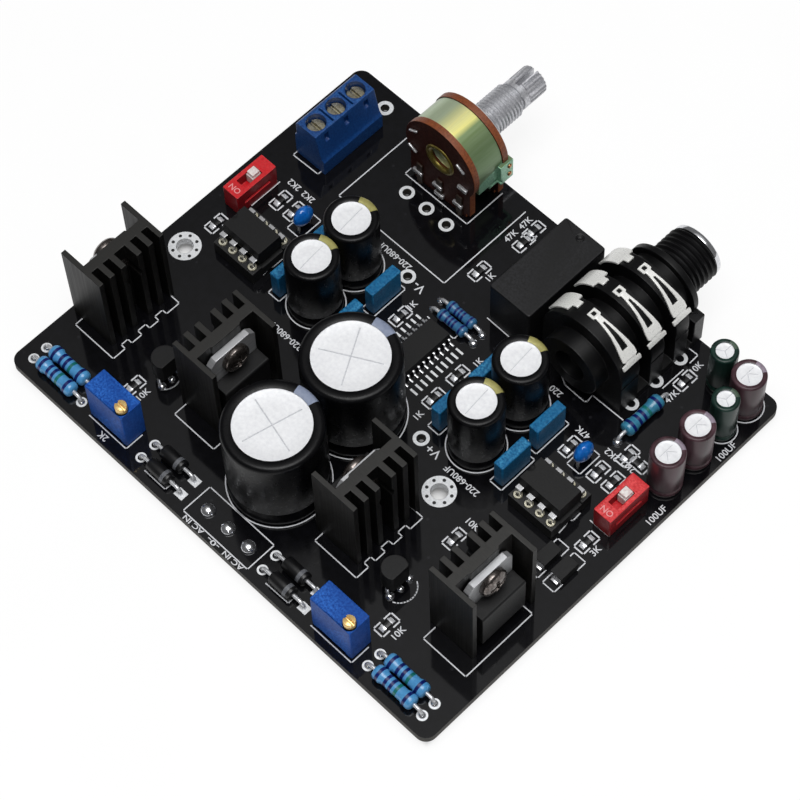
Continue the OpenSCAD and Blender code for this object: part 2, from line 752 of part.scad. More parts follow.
module wafer(y) {
    notch_w = 2;
    notch_h = 1.2;
    color("#8a4a26")
        on_pot_axis(y)
            difference() {
                union() {
                    rod_y(wafer_d, wafer_t);
                    translate([-wafer_foot_w / 2, 0, -pot_axis_h])
                        cube([wafer_foot_w, wafer_t, pot_axis_h]);
                }
                translate([0, -cut_extra, 0])
                    rod_y(shaft_d + 2 * shaft_nest, wafer_t + 2 * cut_extra);
                for (s = [-1, 1])
                    translate([s * wafer_foot_w / 2 - notch_w / 2, -cut_extra, -pot_axis_h - cut_extra])
                        cube([notch_w, wafer_t + 2 * cut_extra, cut_extra + notch_h]);
            }
}

module volume_rear_wafer() wafer(pot_rear_y);
module volume_front_wafer() wafer(front_wafer_y);

module volume_bushing() {
    plate_d = pot_can_d * plate_share;
    color("#a7a9ad")
        difference() {
            union() {
                on_pot_axis(plate_y)
                    rod_y(plate_d, plate_t);
                on_pot_axis(bushing_y)
                    rod_y(bushing_d, bushing_l);
            }
            on_pot_axis(plate_y - cut_extra)
                rod_y(shaft_d + 2 * shaft_room, plate_t + bushing_l + 2 * cut_extra);
        }
}

module volume_shaft() {
    rear_gap = 0.6;
    shaft_start = can_y + rear_gap;
    groove_y = bushing_y + bushing_l;
    color("#b4b6ba")
        difference() {
            union() {
                on_pot_axis(shaft_start)
                    rod_y(shaft_d, groove_y - shaft_start);
                on_pot_axis(shaft_start)
                    rod_y(shaft_d - 2 * shaft_groove_depth, shaft_end_y - shaft_start);
                on_pot_axis(groove_y + shaft_groove_w)
                    rod_y(shaft_d, shaft_l - shaft_groove_w);
            }
            on_pot_axis(shaft_end_y - shaft_slot_l)
                translate([-shaft_slot_w / 2, 0, -shaft_d])
                    cube([shaft_slot_w, shaft_slot_l + cut_extra, 2 * shaft_d]);
        }
}

// Flat strips riveted to the rear face of each wafer, with round pins through the board
module volume_terminals() {
    strip_w = 1.4;
    rear_strip_h = 5.6;
    front_strip_h = 2.8;
    strip_h = [rear_strip_h, front_strip_h];
    color("#d3d5d8")
        for (x = spread(pot_at[0], pot_pin_pitch, 3), i = [0, 1]) {
            at([x, pot_pin_y[i]])
                translate([-strip_w / 2, -strip_t / 2, 0])
                    cube([strip_w, strip_t, strip_h[i]]);
            at([x, pot_pin_y[i]], 0)
                cylinder(d = lead_d, h = board_t, $fn = small_fn);
        }
}

module relay_case() {
    foot_h = 0.4;
    foot_l = 1.5;
    base_inset = 1.2;
    edge_r = 0.6;
    vent_d = 1.2;
    vent_depth = 0.3;
    vent_y = relay_l * 0.42;
    color("#2f3034")
        at(relay_at) {
            difference() {
                rounded_block(relay_w, relay_l, relay_h, edge_r);
                translate([0, vent_y, relay_h - vent_depth])
                    cylinder(d = vent_d, h = vent_depth + cut_extra, $fn = small_fn);
                translate([0, 0, -cut_extra])
                    block(relay_w + 2 * cut_extra, relay_l - 2 * foot_l, foot_h + cut_extra);
            }
            block(relay_w - 2 * base_inset, relay_l - 2 * foot_l - base_inset, foot_h);
        }
}

// Headphone socket: pieces are drawn round its bore, which runs along +Y
module on_jack_axis(y)
    at([jack_at[0], y], board_t + jack_axis_h)
        children();

// A round-bottomed chamber between two ribs, open above the housing's straight sides
module jack_chamber(y, l)
    on_jack_axis(y)
        difference() {
            translate([-2 * jack_r, 0, -side_drop])
                cube([4 * jack_r, l, 2 * jack_r]);
            translate([0, -cut_extra, 0])
                rod_y(2 * (jack_r - chamber_depth), l + 2 * cut_extra);
        }

// The same chamber's two sides, down to the housing's base plate
module rib_gap(y, l) {
    base_t = 1.2;
    for (s = [-1, 1])
        at([jack_at[0] + s * jack_r, y + l / 2], board_t + base_t)
            block(2 * chamber_depth, l, jack_axis_h - base_t);
}

// A slot that takes a strip's tail in from the side and down to the board
module tail_slot(side, y) {
    slot_w = tail_w + 2 * tail_room;
    slot_t = spring_t + 2 * tail_room;
    mouth = tail_setback + slot_t;
    at([jack_at[0] + side * tail_x, y], board_t - cut_extra)
        block(slot_t, slot_w, tail_h + cut_extra);
    at([jack_at[0] + side * (tail_x + (mouth - slot_t) / 2), y], board_t + tail_h - spring_t - tail_room)
        block(mouth, slot_w, slot_t);
}

module jack_housing() {
    rib_spare = 0.5;
    rib_l = spring_w + rib_spare;
    chamber_l = spring_pitch - rib_l;
    side_w = 2 * jack_r;
    collar_step = 1.65;
    collar_r = jack_r - collar_step;
    boss_d = 12.4;
    recess_l = rear_boss_l - 0.8;
    gap_end = jack_front_y - flange_t;
    color("#1b1c1e")
        difference() {
            union() {
                on_jack_axis(jack_rear_y)
                    rod_y(2 * jack_r, jack_body_l - flange_t);
                on_jack_axis(jack_front_y - flange_t - cut_extra)
                    rod_y(2 * collar_r, flange_t + cut_extra);
                at([jack_at[0] - jack_r, jack_rear_y])
                    cube([side_w, jack_body_l, jack_axis_h - side_drop]);
                on_jack_axis(jack_front_y - cut_extra)
                    rod_y(jack_nose_d, jack_nose_l - jack_ring_l + cut_extra);
                on_jack_axis(jack_rear_y - rear_boss_l)
                    rod_y(boss_d, rear_boss_l + cut_extra);
            }
            on_jack_axis(jack_front_y + jack_nose_l - jack_bore_l)
                rod_y(jack_bore_d, jack_bore_l);
            on_jack_axis(jack_rear_y - rear_boss_l - cut_extra)
                rod_y(jack_bore_d, recess_l + cut_extra);
            for (y = spring_y) {
                jack_chamber(y + rib_l / 2, chamber_l);
                rib_gap(y + rib_l / 2, min(chamber_l, gap_end - y - rib_l / 2));
                for (s = [-1, 1])
                    tail_slot(s, y);
            }
        }
}

module jack_ring() {
    step = 0.2;
    color("#d8dade")
        on_jack_axis(jack_front_y + jack_nose_l - jack_ring_l)
            difference() {
                rod_y(jack_nose_d - 2 * step, jack_ring_l);
                translate([0, -cut_extra, 0])
                    rod_y(jack_bore_d, jack_ring_l + 2 * cut_extra);
            }
}

// A strip bent round the bore: each station has an inner and an outer pair of corners
module bent_band(y, outline, r, t) {
    steps = 2;
    last = len(outline) - 1;
    angles = [
        for (i = [0:last - 1], s = [0:steps - 1])
            outline[i][0] + (outline[i + 1][0] - outline[i][0]) * s / steps,
        outline[last][0]
    ];
    corners = [[0, -0.5], [0, 0.5], [t, 0.5], [t, -0.5]];
    points = [
        for (a = angles, q = corners)
            [(r + q[0]) * cos(a), q[1] * spring_w * lookup(a, outline), (r + q[0]) * sin(a)]
    ];
    end = 4 * (len(angles) - 1);
    sides = [
        for (i = [0:4:end - 4], k = [0:3])
            let (n = (k + 1) % 4)
                each [[i + k, i + n, i + 4 + n], [i + k, i + 4 + n, i + 4 + k]]
    ];
    on_jack_axis(y)
        polyhedron(points, concat([[3, 2, 1, 0]], sides, [[end, end + 1, end + 2, end + 3]]), convexity = 4);
}

// A sprung strip bent over the round top, with a hidden tail and a pin through the board
module jack_strip(y, outline, side) {
    bent_band(y, outline, spring_r, spring_t);
    at([jack_at[0] + side * (tail_x + strip_x) / 2, y], board_t + tail_h - spring_t)
        block(strip_x - tail_x + spring_t, tail_w, spring_t);
    at([jack_at[0] + side * tail_x, y])
        block(spring_t, tail_w, tail_h);
    at([jack_at[0] + side * tail_x, y], 0)
        block(spring_t, pin_w, board_t);
}

module jack_springs() {
    cut_t = 3 * spring_t;
    color("#e2e3e0")
        for (y = spring_y)
            difference() {
                jack_strip(y, spring_outline, 1);
                for (slot = [spring_slot, hook_slot])
                    bent_band(y, slot, spring_r - spring_t, cut_t);
            }
}

module jack_switch_contacts() {
    color("#e2e3e0")
        for (y = spring_y) jack_strip(y, contact_outline, -1);
}

// Mode switches, drawn from the middle of their base
module switch_body(c) {
    window_depth = 2.4;
    edge_r = 0.25;
    groove_depth = 0.4;
    groove_l = 6.4;
    groove_h = 0.9;
    groove_z = switch_h * 0.4;
    color("#cf2b31")
        at(c)
            difference() {
                rounded_block(switch_w, switch_l, switch_h, edge_r);
                translate([0, 0, switch_h - window_depth])
                    block(window_w, window_l, window_depth + cut_extra);
                translate([switch_w / 2 - groove_depth, -groove_l / 2, groove_z])
                    cube([groove_depth + cut_extra, groove_l, groove_h]);
            }
}

module switch_slider(c) {
    slider_h = 2.2;
    knob_step = 0.2;
    slider_w = window_w - 2 * slider_room;
    rest_y = window_l / 2 - slider_room - knob_l / 2;
    color("#f1f0ea")
        at(c)
            translate([0, rest_y, switch_h - slider_h]) {
                block(slider_w, knob_l, slider_h);
                translate([0, 0, slider_h])
                    block(slider_w - knob_step, knob_l - 2 * knob_step, knob_rise);
            }
}

module left_switch_body() switch_body(switch_at[0]);
module left_switch_slider() switch_slider(switch_at[0]);
module right_switch_body() switch_body(switch_at[1]);
module right_switch_slider() switch_slider(switch_at[1]);

module socket_frame(c) {
    rail_l = 4 * socket_pitch;
    bar_l = 1.6;
    bar_h = 2.1;
    bar_span = row_pitch - rail_w + cut_extra;
    bar_lift = 0.4;
    contact_room = 0.05;
    hole_d = contact_d + 2 * contact_room;
    color("#1c1d1f")
        at(c)
            difference() {
                union() {
                    for (s = [-1, 1])
                        translate([0, s * row_pitch / 2, 0])
                            block(rail_l, rail_w, socket_h);
                    for (s = [-1, 1])
                        translate([s * (rail_l - bar_l) / 2, 0, bar_lift])
                            block(bar_l, bar_span, bar_h);
                }
                for (x = spread(0, socket_pitch, 4), s = [-1, 1])
                    translate([x, s * row_pitch / 2, -cut_extra])
                        cylinder(d = hole_d, h = socket_h + 2 * cut_extra, $fn = small_fn);
            }
}

module left_socket() socket_frame(socket_at[0]);
module right_socket() socket_frame(socket_at[1]);

module socket_contacts() {
    cup_d = 0.9;
    cup_floor = 0.8;
    color("#d9d3b8")
        for (p = socket_leads) {
            at(p)
                difference() {
                    cylinder(d = contact_d, h = socket_h + contact_rise, $fn = small_fn);
                    translate([0, 0, cup_floor])
                        cylinder(d = cup_d, h = socket_h, $fn = small_fn);
                }
            at(p, 0)
                cylinder(d = lead_d, h = board_t, $fn = small_fn);
        }
}

module opamp(c) {
    body_gap = 0.4;
    lift = socket_h + contact_rise + body_gap;
    leg_t = 0.28;
    leg_l = 2;
    leg_w = 0.5;
    shoulder_w = 1.3;
    taper = 0.35;
    leg_z = opamp_t * 0.45;
    half_w = opamp_w / 2;
    notch_d = 1.6;
    notch_depth = 0.4;
    color("#232427")
        at(c, board_t + lift)
            difference() {
                rotate([90, 0, 90])
                    linear_extrude(opamp_l, center = true)
                        polygon([
                            [taper - half_w, 0], [half_w - taper, 0], [half_w, leg_z],
                            [half_w - taper, opamp_t], [taper - half_w, opamp_t], [-half_w, leg_z]
                        ]);
                translate([-opamp_l / 2, 0, opamp_t - notch_depth])
                    cylinder(d = notch_d, h = notch_depth + cut_extra, $fn = small_fn);
            }
    color("#c6c8cb")
        at(c, board_t + lift)
            for (x = spread(0, socket_pitch, 4), s = [0, 180])
                translate([x, 0, 0])
                    rotate(s) {
                        translate([-shoulder_w / 2, half_w - taper, leg_z - leg_t / 2])
                            cube([shoulder_w, taper + (row_pitch - opamp_w - leg_t) / 2, leg_t]);
                        translate([-shoulder_w / 2, row_pitch / 2 - leg_t / 2, -body_gap])
                            cube([shoulder_w, leg_t, body_gap + leg_z + leg_t / 2]);
                        translate([-leg_w / 2, row_pitch / 2 - leg_t / 2, -leg_l])
                            cube([leg_w, leg_t, leg_l]);
                    }
}

module left_opamp() opamp(socket_at[0]);
module right_opamp() opamp(socket_at[1]);

// Heatsink section: transistor recess towards +X, short fins and the round channel towards -X
module sink_section() {
    half_w = sink_w / 2;
    web_x = sink_d / 2 - recess_d;
    fin_x = -sink_d / 2;
    for (s = [-1, 1])
        translate([fin_x, s * (half_w - wing_t / 2) - wing_t / 2])
            square([sink_d, wing_t]);
    translate([web_x - web_t, -half_w])
        square([web_t, sink_w]);
    translate([web_x, 0])
        polygon([
            [0, -seat_w / 2 - seat_h], [seat_h, -seat_w / 2],
            [seat_h, seat_w / 2], [0, seat_w / 2 + seat_h]
        ]);
    for (s = [-1, 1], i = [0, 1])
        translate([fin_x, s * (channel_r + fin_t / 2 + i * (fin_t + fin_gap)) - fin_t / 2])
            square([fin_depth, fin_t]);
}

module heatsink(c) {
    color("#202123")
        at(c)
            rotate(c[2] > 0 ? 0 : 180)
                difference() {
                    linear_extrude(sink_h)
                        sink_section();
                    translate([-sink_d, 0, tab_hole_z])
                        rod_x(tab_screw_d + 2 * tab_screw_room, 2 * sink_d);
                }
}

module heatsink_1() heatsink(sink_at[0]);
module heatsink_2() heatsink(sink_at[1]);
module heatsink_3() heatsink(sink_at[2]);
module heatsink_4() heatsink(sink_at[3]);

module at_each_device()
    for (c = sink_at)
        at(c)
            rotate(c[2] > 0 ? 0 : 180)
                translate([seat_x, 0, 0])
                    children();

module transistor_tabs() {
    corner = 1.2;
    half_w = device_w / 2;
    tab_h = tab_top - device_lift;
    color("#c9cbce") {
        at_each_device()
            difference() {
                translate([0, 0, device_lift])
                    rotate([90, 0, 90])
                        linear_extrude(tab_t)
                            polygon([
                                [-half_w, 0], [half_w, 0], [half_w, tab_h - corner],
                                [half_w - corner, tab_h], [corner - half_w, tab_h],
                                [-half_w, tab_h - corner]
                            ]);
                translate([-cut_extra, 0, tab_hole_z])
                    rod_x(tab_screw_d + 2 * tab_screw_room, tab_t + 2 * cut_extra);
            }
        for (p = device_leads)
            at(p, 0)
                cylinder(d = lead_d, h = board_t + device_lift, $fn = small_fn);
    }
}

module transistor_bodies() {
    draft = 0.3;
    body_t = device_t - tab_t;
    color("#1d1e20")
        at_each_device()
            translate([tab_t, device_w / 2, device_lift])
                rotate([90, 0, 0])
                    linear_extrude(device_w)
                        polygon([
                            [0, 0], [body_t - draft, 0], [body_t, draft], [body_t, device_body_h - draft],
                            [body_t - draft, device_body_h], [0, device_body_h]
                        ]);
}

module transistor_screws() {
    shank_l = tab_t + seat_h + web_t;
    head_r = tab_head_d / 2;
    rim_h = tab_head_h / 2;
    dome = [for (a = [30:20:90]) [head_r * cos(a), rim_h + (tab_head_h - rim_h) * sin(a)]];
    slot = [tab_head_h, tab_head_d * 0.56, 0.7];
    slot_floor = tab_head_h * 0.45;
    color("#d2d4d6")
        at_each_device()
            translate([tab_t, 0, tab_hole_z])
                difference() {
                    union() {
                        rotate([0, 90, 0])
                            rotate_extrude($fn = round_fn)
                                polygon(concat([[0, 0], [head_r, 0], [head_r, rim_h]], dome));
                        translate([-shank_l, 0, 0])
                            rod_x(tab_screw_d, shank_l);
                    }
                    for (turn = [0, 90])
                        rotate([turn, 0, 0])
                            translate([slot_floor, -slot[1] / 2, -slot[2] / 2])
                                cube(slot);
                }
}

// A sleeved can with a crimp groove near its foot and a rim round its bare top
module can(d, h, rim) {
    r = d / 2;
    edge = rim * 0.45;
    shoulder = [for (a = [0:15:90]) [r - edge + edge * cos(a), h - edge + edge * sin(a)]];
    foot = d * 0.04;
    groove = d * 0.035;
    groove_z = h * 0.14;
    rotate_extrude($fn = 64)
        polygon(concat(
            [[0, 0], [r - foot, 0], [r, foot], [r, groove_z - 2 * groove]],
            [[r - groove, groove_z], [r, groove_z + 2 * groove]],
            shoulder,
            [[r - rim, h], [r - rim, h - rim_h], [0, h - rim_h]]
        ));
}

module filter_capacitor(c) {
    score_w = 0.35;
    score_l = (filter_d - 2 * filter_rim_w) * 0.9;
    color("#17181a")
        at(c)
            difference() {
                can(filter_d, filter_h, filter_rim_w);
                for (turn = [45, 135])
                    rotate(turn)
                        translate([0, 0, filter_h - rim_h - score_depth])
                            block(score_l, score_w, score_depth + cut_extra);
            }
}

module filter_capacitor_1() filter_capacitor(filter_at[0]);
module filter_capacitor_2() filter_capacitor(filter_at[1]);

module rail_capacitor(c)
    color("#1a1b1d")
        at(c)
            can(rail_d, rail_h, rail_rim_w);

module rail_capacitor_1() rail_capacitor(rail_at[0]);
module rail_capacitor_2() rail_capacitor(rail_at[1]);
module rail_capacitor_3() rail_capacitor(rail_at[2]);
module rail_capacitor_4() rail_capacitor(rail_at[3]);

module coupling_capacitors()
    color("#4b2d32")
        for (c = coupling_at)
            at(c) can(coupling_d, small_can_h, small_rim_w);

module bypass_capacitors()
    color("#1e3730")
        for (c = bypass_at)
            at(c) can(bypass_d, small_can_h, small_rim_w);

module film_capacitors() {
    edge_r = 0.35;
    color("#2f86b5")
        for (c = film_at)
            at(c) rounded_block(film_t, film_l, film_h, edge_r);
}

// A dipped disc on edge, its round faces towards -X and +X
module ceramic_capacitors() {
    section = [for (a = [-90:15:90]) [drop_d / 2 * cos(a), drop_t / 2 * sin(a)]];
    color("#2c8fd0")
        for (c = drop_at)
            at(c, board_t + drop_lift)
                difference() {
                    translate([0, 0, drop_d / 2 - drop_sink])
                        rotate([0, 90, 0])
                            rotate_extrude($fn = round_fn)
                                polygon(section);
                    translate([0, 0, -drop_d])
                        block(2 * drop_d, 2 * drop_d, drop_d);
                }
}

// Trimmers, drawn from the middle of their base
trimmer_screw_place = [trimmer_l / 2 - trimmer_screw_inset, trimmer_screw_inset - trimmer_w / 2];

module trimmer_body(c) {
    foot_h = 0.4;
    foot_l = 1.5;
    edge_r = 0.3;
    bar_inset = 2;
    bar_w = 1.6;
    well_d = trimmer_screw_d + 2 * trimmer_screw_room;
    color("#3566b4")
        at(c) {
            difference() {
                rounded_block(trimmer_l, trimmer_w, trimmer_h, edge_r);
                translate(concat(trimmer_screw_place, trimmer_h - trimmer_well))
                    cylinder(d = well_d, h = trimmer_well + cut_extra, $fn = round_fn);
                translate([0, 0, -cut_extra])
                    block(trimmer_l - 2 * foot_l, trimmer_w + 2 * cut_extra, foot_h + cut_extra);
            }
            block(trimmer_l - 2 * bar_inset, bar_w, foot_h);
        }
}

module trimmer_screw(c) {
    slot_w = 0.5;
    slot_h = 0.6;
    head_h = trimmer_well + trimmer_screw_rise - rest_gap;
    color("#d9a860")
        at(c)
            translate(concat(trimmer_screw_place, trimmer_h - trimmer_well + rest_gap))
                difference() {
                    cylinder(d = trimmer_screw_d, h = head_h, $fn = round_fn);
                    translate([-trimmer_screw_d, -slot_w / 2, head_h - slot_h])
                        cube([2 * trimmer_screw_d, slot_w, slot_h + cut_extra]);
                }
}

module left_trimmer_body() trimmer_body(trimmer_at[0]);
module left_trimmer_screw() trimmer_screw(trimmer_at[0]);
module right_trimmer_body() trimmer_body(trimmer_at[1]);
module right_trimmer_screw() trimmer_screw(trimmer_at[1]);

// A waisted resistor body turned about its lead, lying on the board along X
module resistor_body(l, d) {
    r = d / 2;
    waist = r * 0.84;
    cap = l * 0.2;
    ease = l * 0.05;
    end_r = r * 0.7;
    half = l / 2;
    translate([0, 0, r])
        rotate([0, 90, 0])
            rotate_extrude($fn = round_fn)
                polygon([
                    [0, -half], [end_r, -half], [r, ease - half], [r, cap - half],
                    [waist, cap + ease - half], [waist, half - cap - ease],
                    [r, half - cap], [r, half - ease], [end_r, half], [0, half]
                ]);
}

module axial_resistors() {
    color("#5fa5d7") {
        for (c = resistor_at)
            at(c) rotate(c[2]) resistor_body(resistor_l, resistor_d);
        for (c = small_resistor_at)
            at(c) rotate(c[2]) resistor_body(small_resistor_l, small_resistor_d);
    }
}

module rectifier_diodes() {
    edge = 0.25;
    r = diode_d / 2;
    half = diode_l / 2;
    color("#1b1c1e")
        for (c = diode_at)
            at(c, board_t + diode_d / 2)
                rotate([0, 90, 0])
                    rotate_extrude($fn = round_fn)
                        polygon([
                            [0, -half], [r - edge, -half], [r, edge - half],
                            [r, half - edge], [r - edge, half], [0, half]
                        ]);
}

// Small moulded regulators with one flat side, raised on their legs
module voltage_regulators() {
    body_d = 4.8;
    body_h = 4.6;
    flat_x = 1.5;
    color("#1e1f21")
        for (c = regulator_at)
            at(c, board_t + regulator_lift)
                difference() {
                    cylinder(d = body_d, h = body_h, $fn = round_fn);
                    translate([flat_x, -body_d, -cut_extra])
                        cube([body_d, 2 * body_d, body_h + 2 * cut_extra]);
                }
}

// Surface-mounted chip with its long side along Y and gull-wing legs towards -X and +X
module amplifier_chip() {
    body_w = 5.3;
    body_l = 12.6;
    body_h = 1.8;
    stand = 0.15;
    span = 7.9;
    leg_w = 0.42;
    leg_t = 0.22;
    leg_pitch = 1.27;
    mid = stand + body_h / 2;
    foot = 0.9;
    base_draft = 0.2;
    top_draft = 0.3;
    half_w = body_w / 2;
    root_x = half_w - top_draft;
    tip_x = span / 2;
    knee_x = tip_x - foot;
    color("#202124")
        at(amplifier_chip_at, board_t + stand)
            translate([0, body_l / 2, 0])
                rotate([90, 0, 0])
                    linear_extrude(body_l)
                        polygon([
                            [base_draft - half_w, 0], [half_w - base_draft, 0], [half_w, body_h / 2],
                            [half_w - top_draft, body_h], [top_draft - half_w, body_h], [-half_w, body_h / 2]
                        ]);
    color("#c9ccd0")
        at(amplifier_chip_at)
            for (y = spread(0, leg_pitch, 10), turn = [0, 180])
                rotate(turn)
                    translate([0, y + leg_w / 2, 0])
                        rotate([90, 0, 0])
                            linear_extrude(leg_w)
                                polygon([
                                    [root_x, mid - leg_t / 2], [knee_x - leg_t, mid - leg_t / 2],
                                    [knee_x - leg_t, 0], [tip_x, 0], [tip_x, leg_t],
                                    [knee_x, leg_t], [knee_x, mid + leg_t / 2], [root_x, mid + leg_t / 2]
                                ]);
}

module surface_diodes() {
    body_w = 2.6;
    body_l = 4.3;
    body_h = 2.1;
    tab_w = 1.5;
    tab_l = 0.5;
    foot_t = 0.25;
    color("#232427")
        for (c = surface_diode_at)
            at(c) block(body_w, body_l, body_h);
    color("#c9ccd0")
        for (c = surface_diode_at, s = [-1, 1])
            at(c)
                translate([0, s * (body_l + tab_l) / 2, 0])
                    block(tab_w, tab_l, foot_t);
}

module chip_resistors()
    color("#1a1a1b")
        for (c = chip_at)
            at(c)
                rotate(c[2])
                    block(chip_l, chip_w, chip_t);

circuit_board();
solder_joints();
component_leads();
terminal_housing();
terminal_contacts();
terminal_screw_1();
terminal_screw_2();
terminal_screw_3();
terminal_clamp_1();
terminal_clamp_2();
terminal_clamp_3();
volume_can();
volume_rear_wafer();
volume_front_wafer();
volume_bushing();
volume_shaft();
volume_terminals();
relay_case();
jack_housing();
jack_ring();
jack_springs();
jack_switch_contacts();
left_switch_body();
left_switch_slider();
right_switch_body();
right_switch_slider();
left_socket();
right_socket();
socket_contacts();
left_opamp();
right_opamp();
heatsink_1();
heatsink_2();
heatsink_3();
heatsink_4();
transistor_tabs();
transistor_bodies();
transistor_screws();
filter_capacitor_1();
filter_capacitor_2();
rail_capacitor_1();
rail_capacitor_2();
rail_capacitor_3();
rail_capacitor_4();
coupling_capacitors();
bypass_capacitors();
film_capacitors();
ceramic_capacitors();
left_trimmer_body();
left_trimmer_screw();
right_trimmer_body();
right_trimmer_screw();
axial_resistors();
rectifier_diodes();
voltage_regulators();
amplifier_chip();
surface_diodes();
chip_resistors();
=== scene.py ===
import bpy
import json
import math
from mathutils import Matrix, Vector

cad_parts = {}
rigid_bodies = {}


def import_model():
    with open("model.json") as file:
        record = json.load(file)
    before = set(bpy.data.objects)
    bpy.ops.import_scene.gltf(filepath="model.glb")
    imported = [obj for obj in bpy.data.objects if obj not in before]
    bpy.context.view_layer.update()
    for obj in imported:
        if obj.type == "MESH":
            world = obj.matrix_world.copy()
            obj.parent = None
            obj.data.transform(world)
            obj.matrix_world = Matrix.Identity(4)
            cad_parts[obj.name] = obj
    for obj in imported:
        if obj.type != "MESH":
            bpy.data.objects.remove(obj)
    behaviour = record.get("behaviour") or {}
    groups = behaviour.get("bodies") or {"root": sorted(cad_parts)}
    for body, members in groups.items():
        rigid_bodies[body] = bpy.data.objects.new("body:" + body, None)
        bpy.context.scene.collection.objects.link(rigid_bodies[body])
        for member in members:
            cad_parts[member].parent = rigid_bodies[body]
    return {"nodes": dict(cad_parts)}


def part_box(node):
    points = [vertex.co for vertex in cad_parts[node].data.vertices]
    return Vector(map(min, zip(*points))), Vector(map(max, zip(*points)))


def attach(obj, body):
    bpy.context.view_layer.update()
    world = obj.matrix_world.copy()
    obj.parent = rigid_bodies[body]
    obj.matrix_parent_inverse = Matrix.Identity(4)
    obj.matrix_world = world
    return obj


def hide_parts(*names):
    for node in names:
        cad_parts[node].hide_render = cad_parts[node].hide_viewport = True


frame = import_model()
for extra in [o for o in bpy.data.objects if o.name in ("Cube", "Light", "Camera")]:
    bpy.data.objects.remove(extra)  # what a new file starts with
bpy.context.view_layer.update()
print("frame loaded:", len(frame["nodes"]), "nodes")


# small helpers: sizes are in mm while a piece is modelled, and in metres once it is set down

board = {"originX": 5.2, "originY": 37.9, "thick": 1.6}  # the left mounting hole, from the board's left corner
weldGap = 1e-4


def spot(x, y, z=0.0):  # a place on the board, z above its top
    return ((x - board["originX"]) / 1000, (y - board["originY"]) / 1000, (board["thick"] + z) / 1000)


def onBoard(c):  # and back from metres
    return c.x * 1000 + board["originX"], c.y * 1000 + board["originY"], c.z * 1000 - board["thick"]


def radians(turn):
    return [math.radians(a) for a in turn]


def ink(red, green, blue):
    def linear(v):
        v = v / 255
        return v / 12.92 if v <= 0.04045 else ((v + 0.055) / 1.055) ** 2.4
    return (linear(red), linear(green), linear(blue), 1.0)


def leaveEdit():
    if bpy.context.mode != "OBJECT":
        bpy.ops.object.mode_set(mode="OBJECT")


def clearPick():
    leaveEdit()
    bpy.ops.object.select_all(action="DESELECT")


def pick(*objs):
    clearPick()
    for o in objs:
        o.select_set(True)
    bpy.context.view_layer.objects.active = objs[0]


def selectAll(action="SELECT"):
    bpy.ops.mesh.select_all(action=action)


def startEdit(obj, mode="FACE"):
    pick(obj)
    bpy.ops.object.mode_set(mode="EDIT")
    bpy.ops.mesh.select_mode(type=mode)


def choose(obj, mode, rule):  # opens the mesh with only what the rule takes selected
    startEdit(obj, mode)
    selectAll("DESELECT")
    leaveEdit()
    for i, part in enumerate(obj.data.vertices if mode == "VERT" else obj.data.polygons):
        part.select = rule(i, part)
    startEdit(obj, mode)


def named(obj, name):
    obj.name = name
    obj.data.name = name
    return obj


def setDown(obj, name, place=(0, 0, 0), turn=(0, 0, 0), scale=0.001):
    pick(obj)
    obj.location = place
    obj.rotation_euler = radians(turn)
    obj.scale = (scale, scale, scale)
    bpy.ops.object.transform_apply(location=True, rotation=True, scale=True)
    return named(obj, name)


def twin(obj, name):
    other = obj.copy()
    other.data = obj.data.copy()
    bpy.context.scene.collection.objects.link(other)
    return named(other, name)


def cleanShell(obj):
    startEdit(obj)
    selectAll()
    bpy.ops.mesh.remove_doubles(threshold=weldGap)
    bpy.ops.mesh.normals_make_consistent(inside=False)
    leaveEdit()


def smooth(obj, angle=35):
    pick(obj)
    bpy.ops.object.shade_smooth_by_angle(angle=math.radians(angle))
    return obj


def crisp(obj, angle=35):
    smooth(obj, angle)
    flat = obj.modifiers.new("flatFaces", "WEIGHTED_NORMAL")  # wide faces stay flat by their rounded edges
    flat.keep_sharp = True
    bpy.ops.object.modifier_apply(modifier=flat.name)
    return obj


def roundEdges(obj, width, segments=2, angle=30):
    pick(obj)
    soft = obj.modifiers.new("roundEdges", "BEVEL")
    soft.width = width
    soft.segments = segments
    soft.limit_method = "ANGLE"
    soft.angle_limit = math.radians(angle)
    soft.use_clamp_overlap = False
    bpy.ops.object.modifier_apply(modifier=soft.name)
    return obj


def paint(obj, finishes, rule=None):
    obj.data.materials.clear()
    for f in finishes:
        obj.data.materials.append(f)
    if rule:
        for face in obj.data.polygons:
            face.material_index = int(rule(face.center, face.normal))
    return obj


def fitOn(obj, body, nodes=()):
    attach(obj, body)
    if nodes:
        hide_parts(*nodes)
    return obj


def softCopy(node, width, segments=2, shade=35, weld=2e-6, flat=1.0):
    obj = twin(frame["nodes"][node], node + "Shown")  # the CAD node itself stays as it is
    obj.parent = None
    for key in [k for k in obj.keys() if k.startswith("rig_")]:
        del obj[key]
    startEdit(obj)
    selectAll()
    bpy.ops.mesh.remove_doubles(threshold=weld)
    bpy.ops.mesh.dissolve_limited(angle_limit=math.radians(flat))
    leaveEdit()
    roundEdges(obj, width / 1000, segments)
    return crisp(obj, shade)


def turned(name, rings, steps=48):  # a round solid from its rings of radius and height
    clearPick()
    radius, low = rings[0]
    bpy.ops.mesh.primitive_circle_add(vertices=steps, radius=radius, fill_type="NGON", location=(0, 0, low))
    obj = bpy.context.object
    bpy.ops.object.transform_apply(location=True)
    startEdit(obj)
    selectAll()
    for (r0, z0), (r1, z1) in zip(rings, rings[1:]):
        bpy.ops.mesh.extrude_region_move(TRANSFORM_OT_translate={"value": (0, 0, z1 - z0)})
        if r1 != r0:
            bpy.ops.transform.resize(value=(r1 / r0, r1 / r0, 1), center_override=(0, 0, z1))
    leaveEdit()
    cleanShell(obj)
    return named(obj, name)


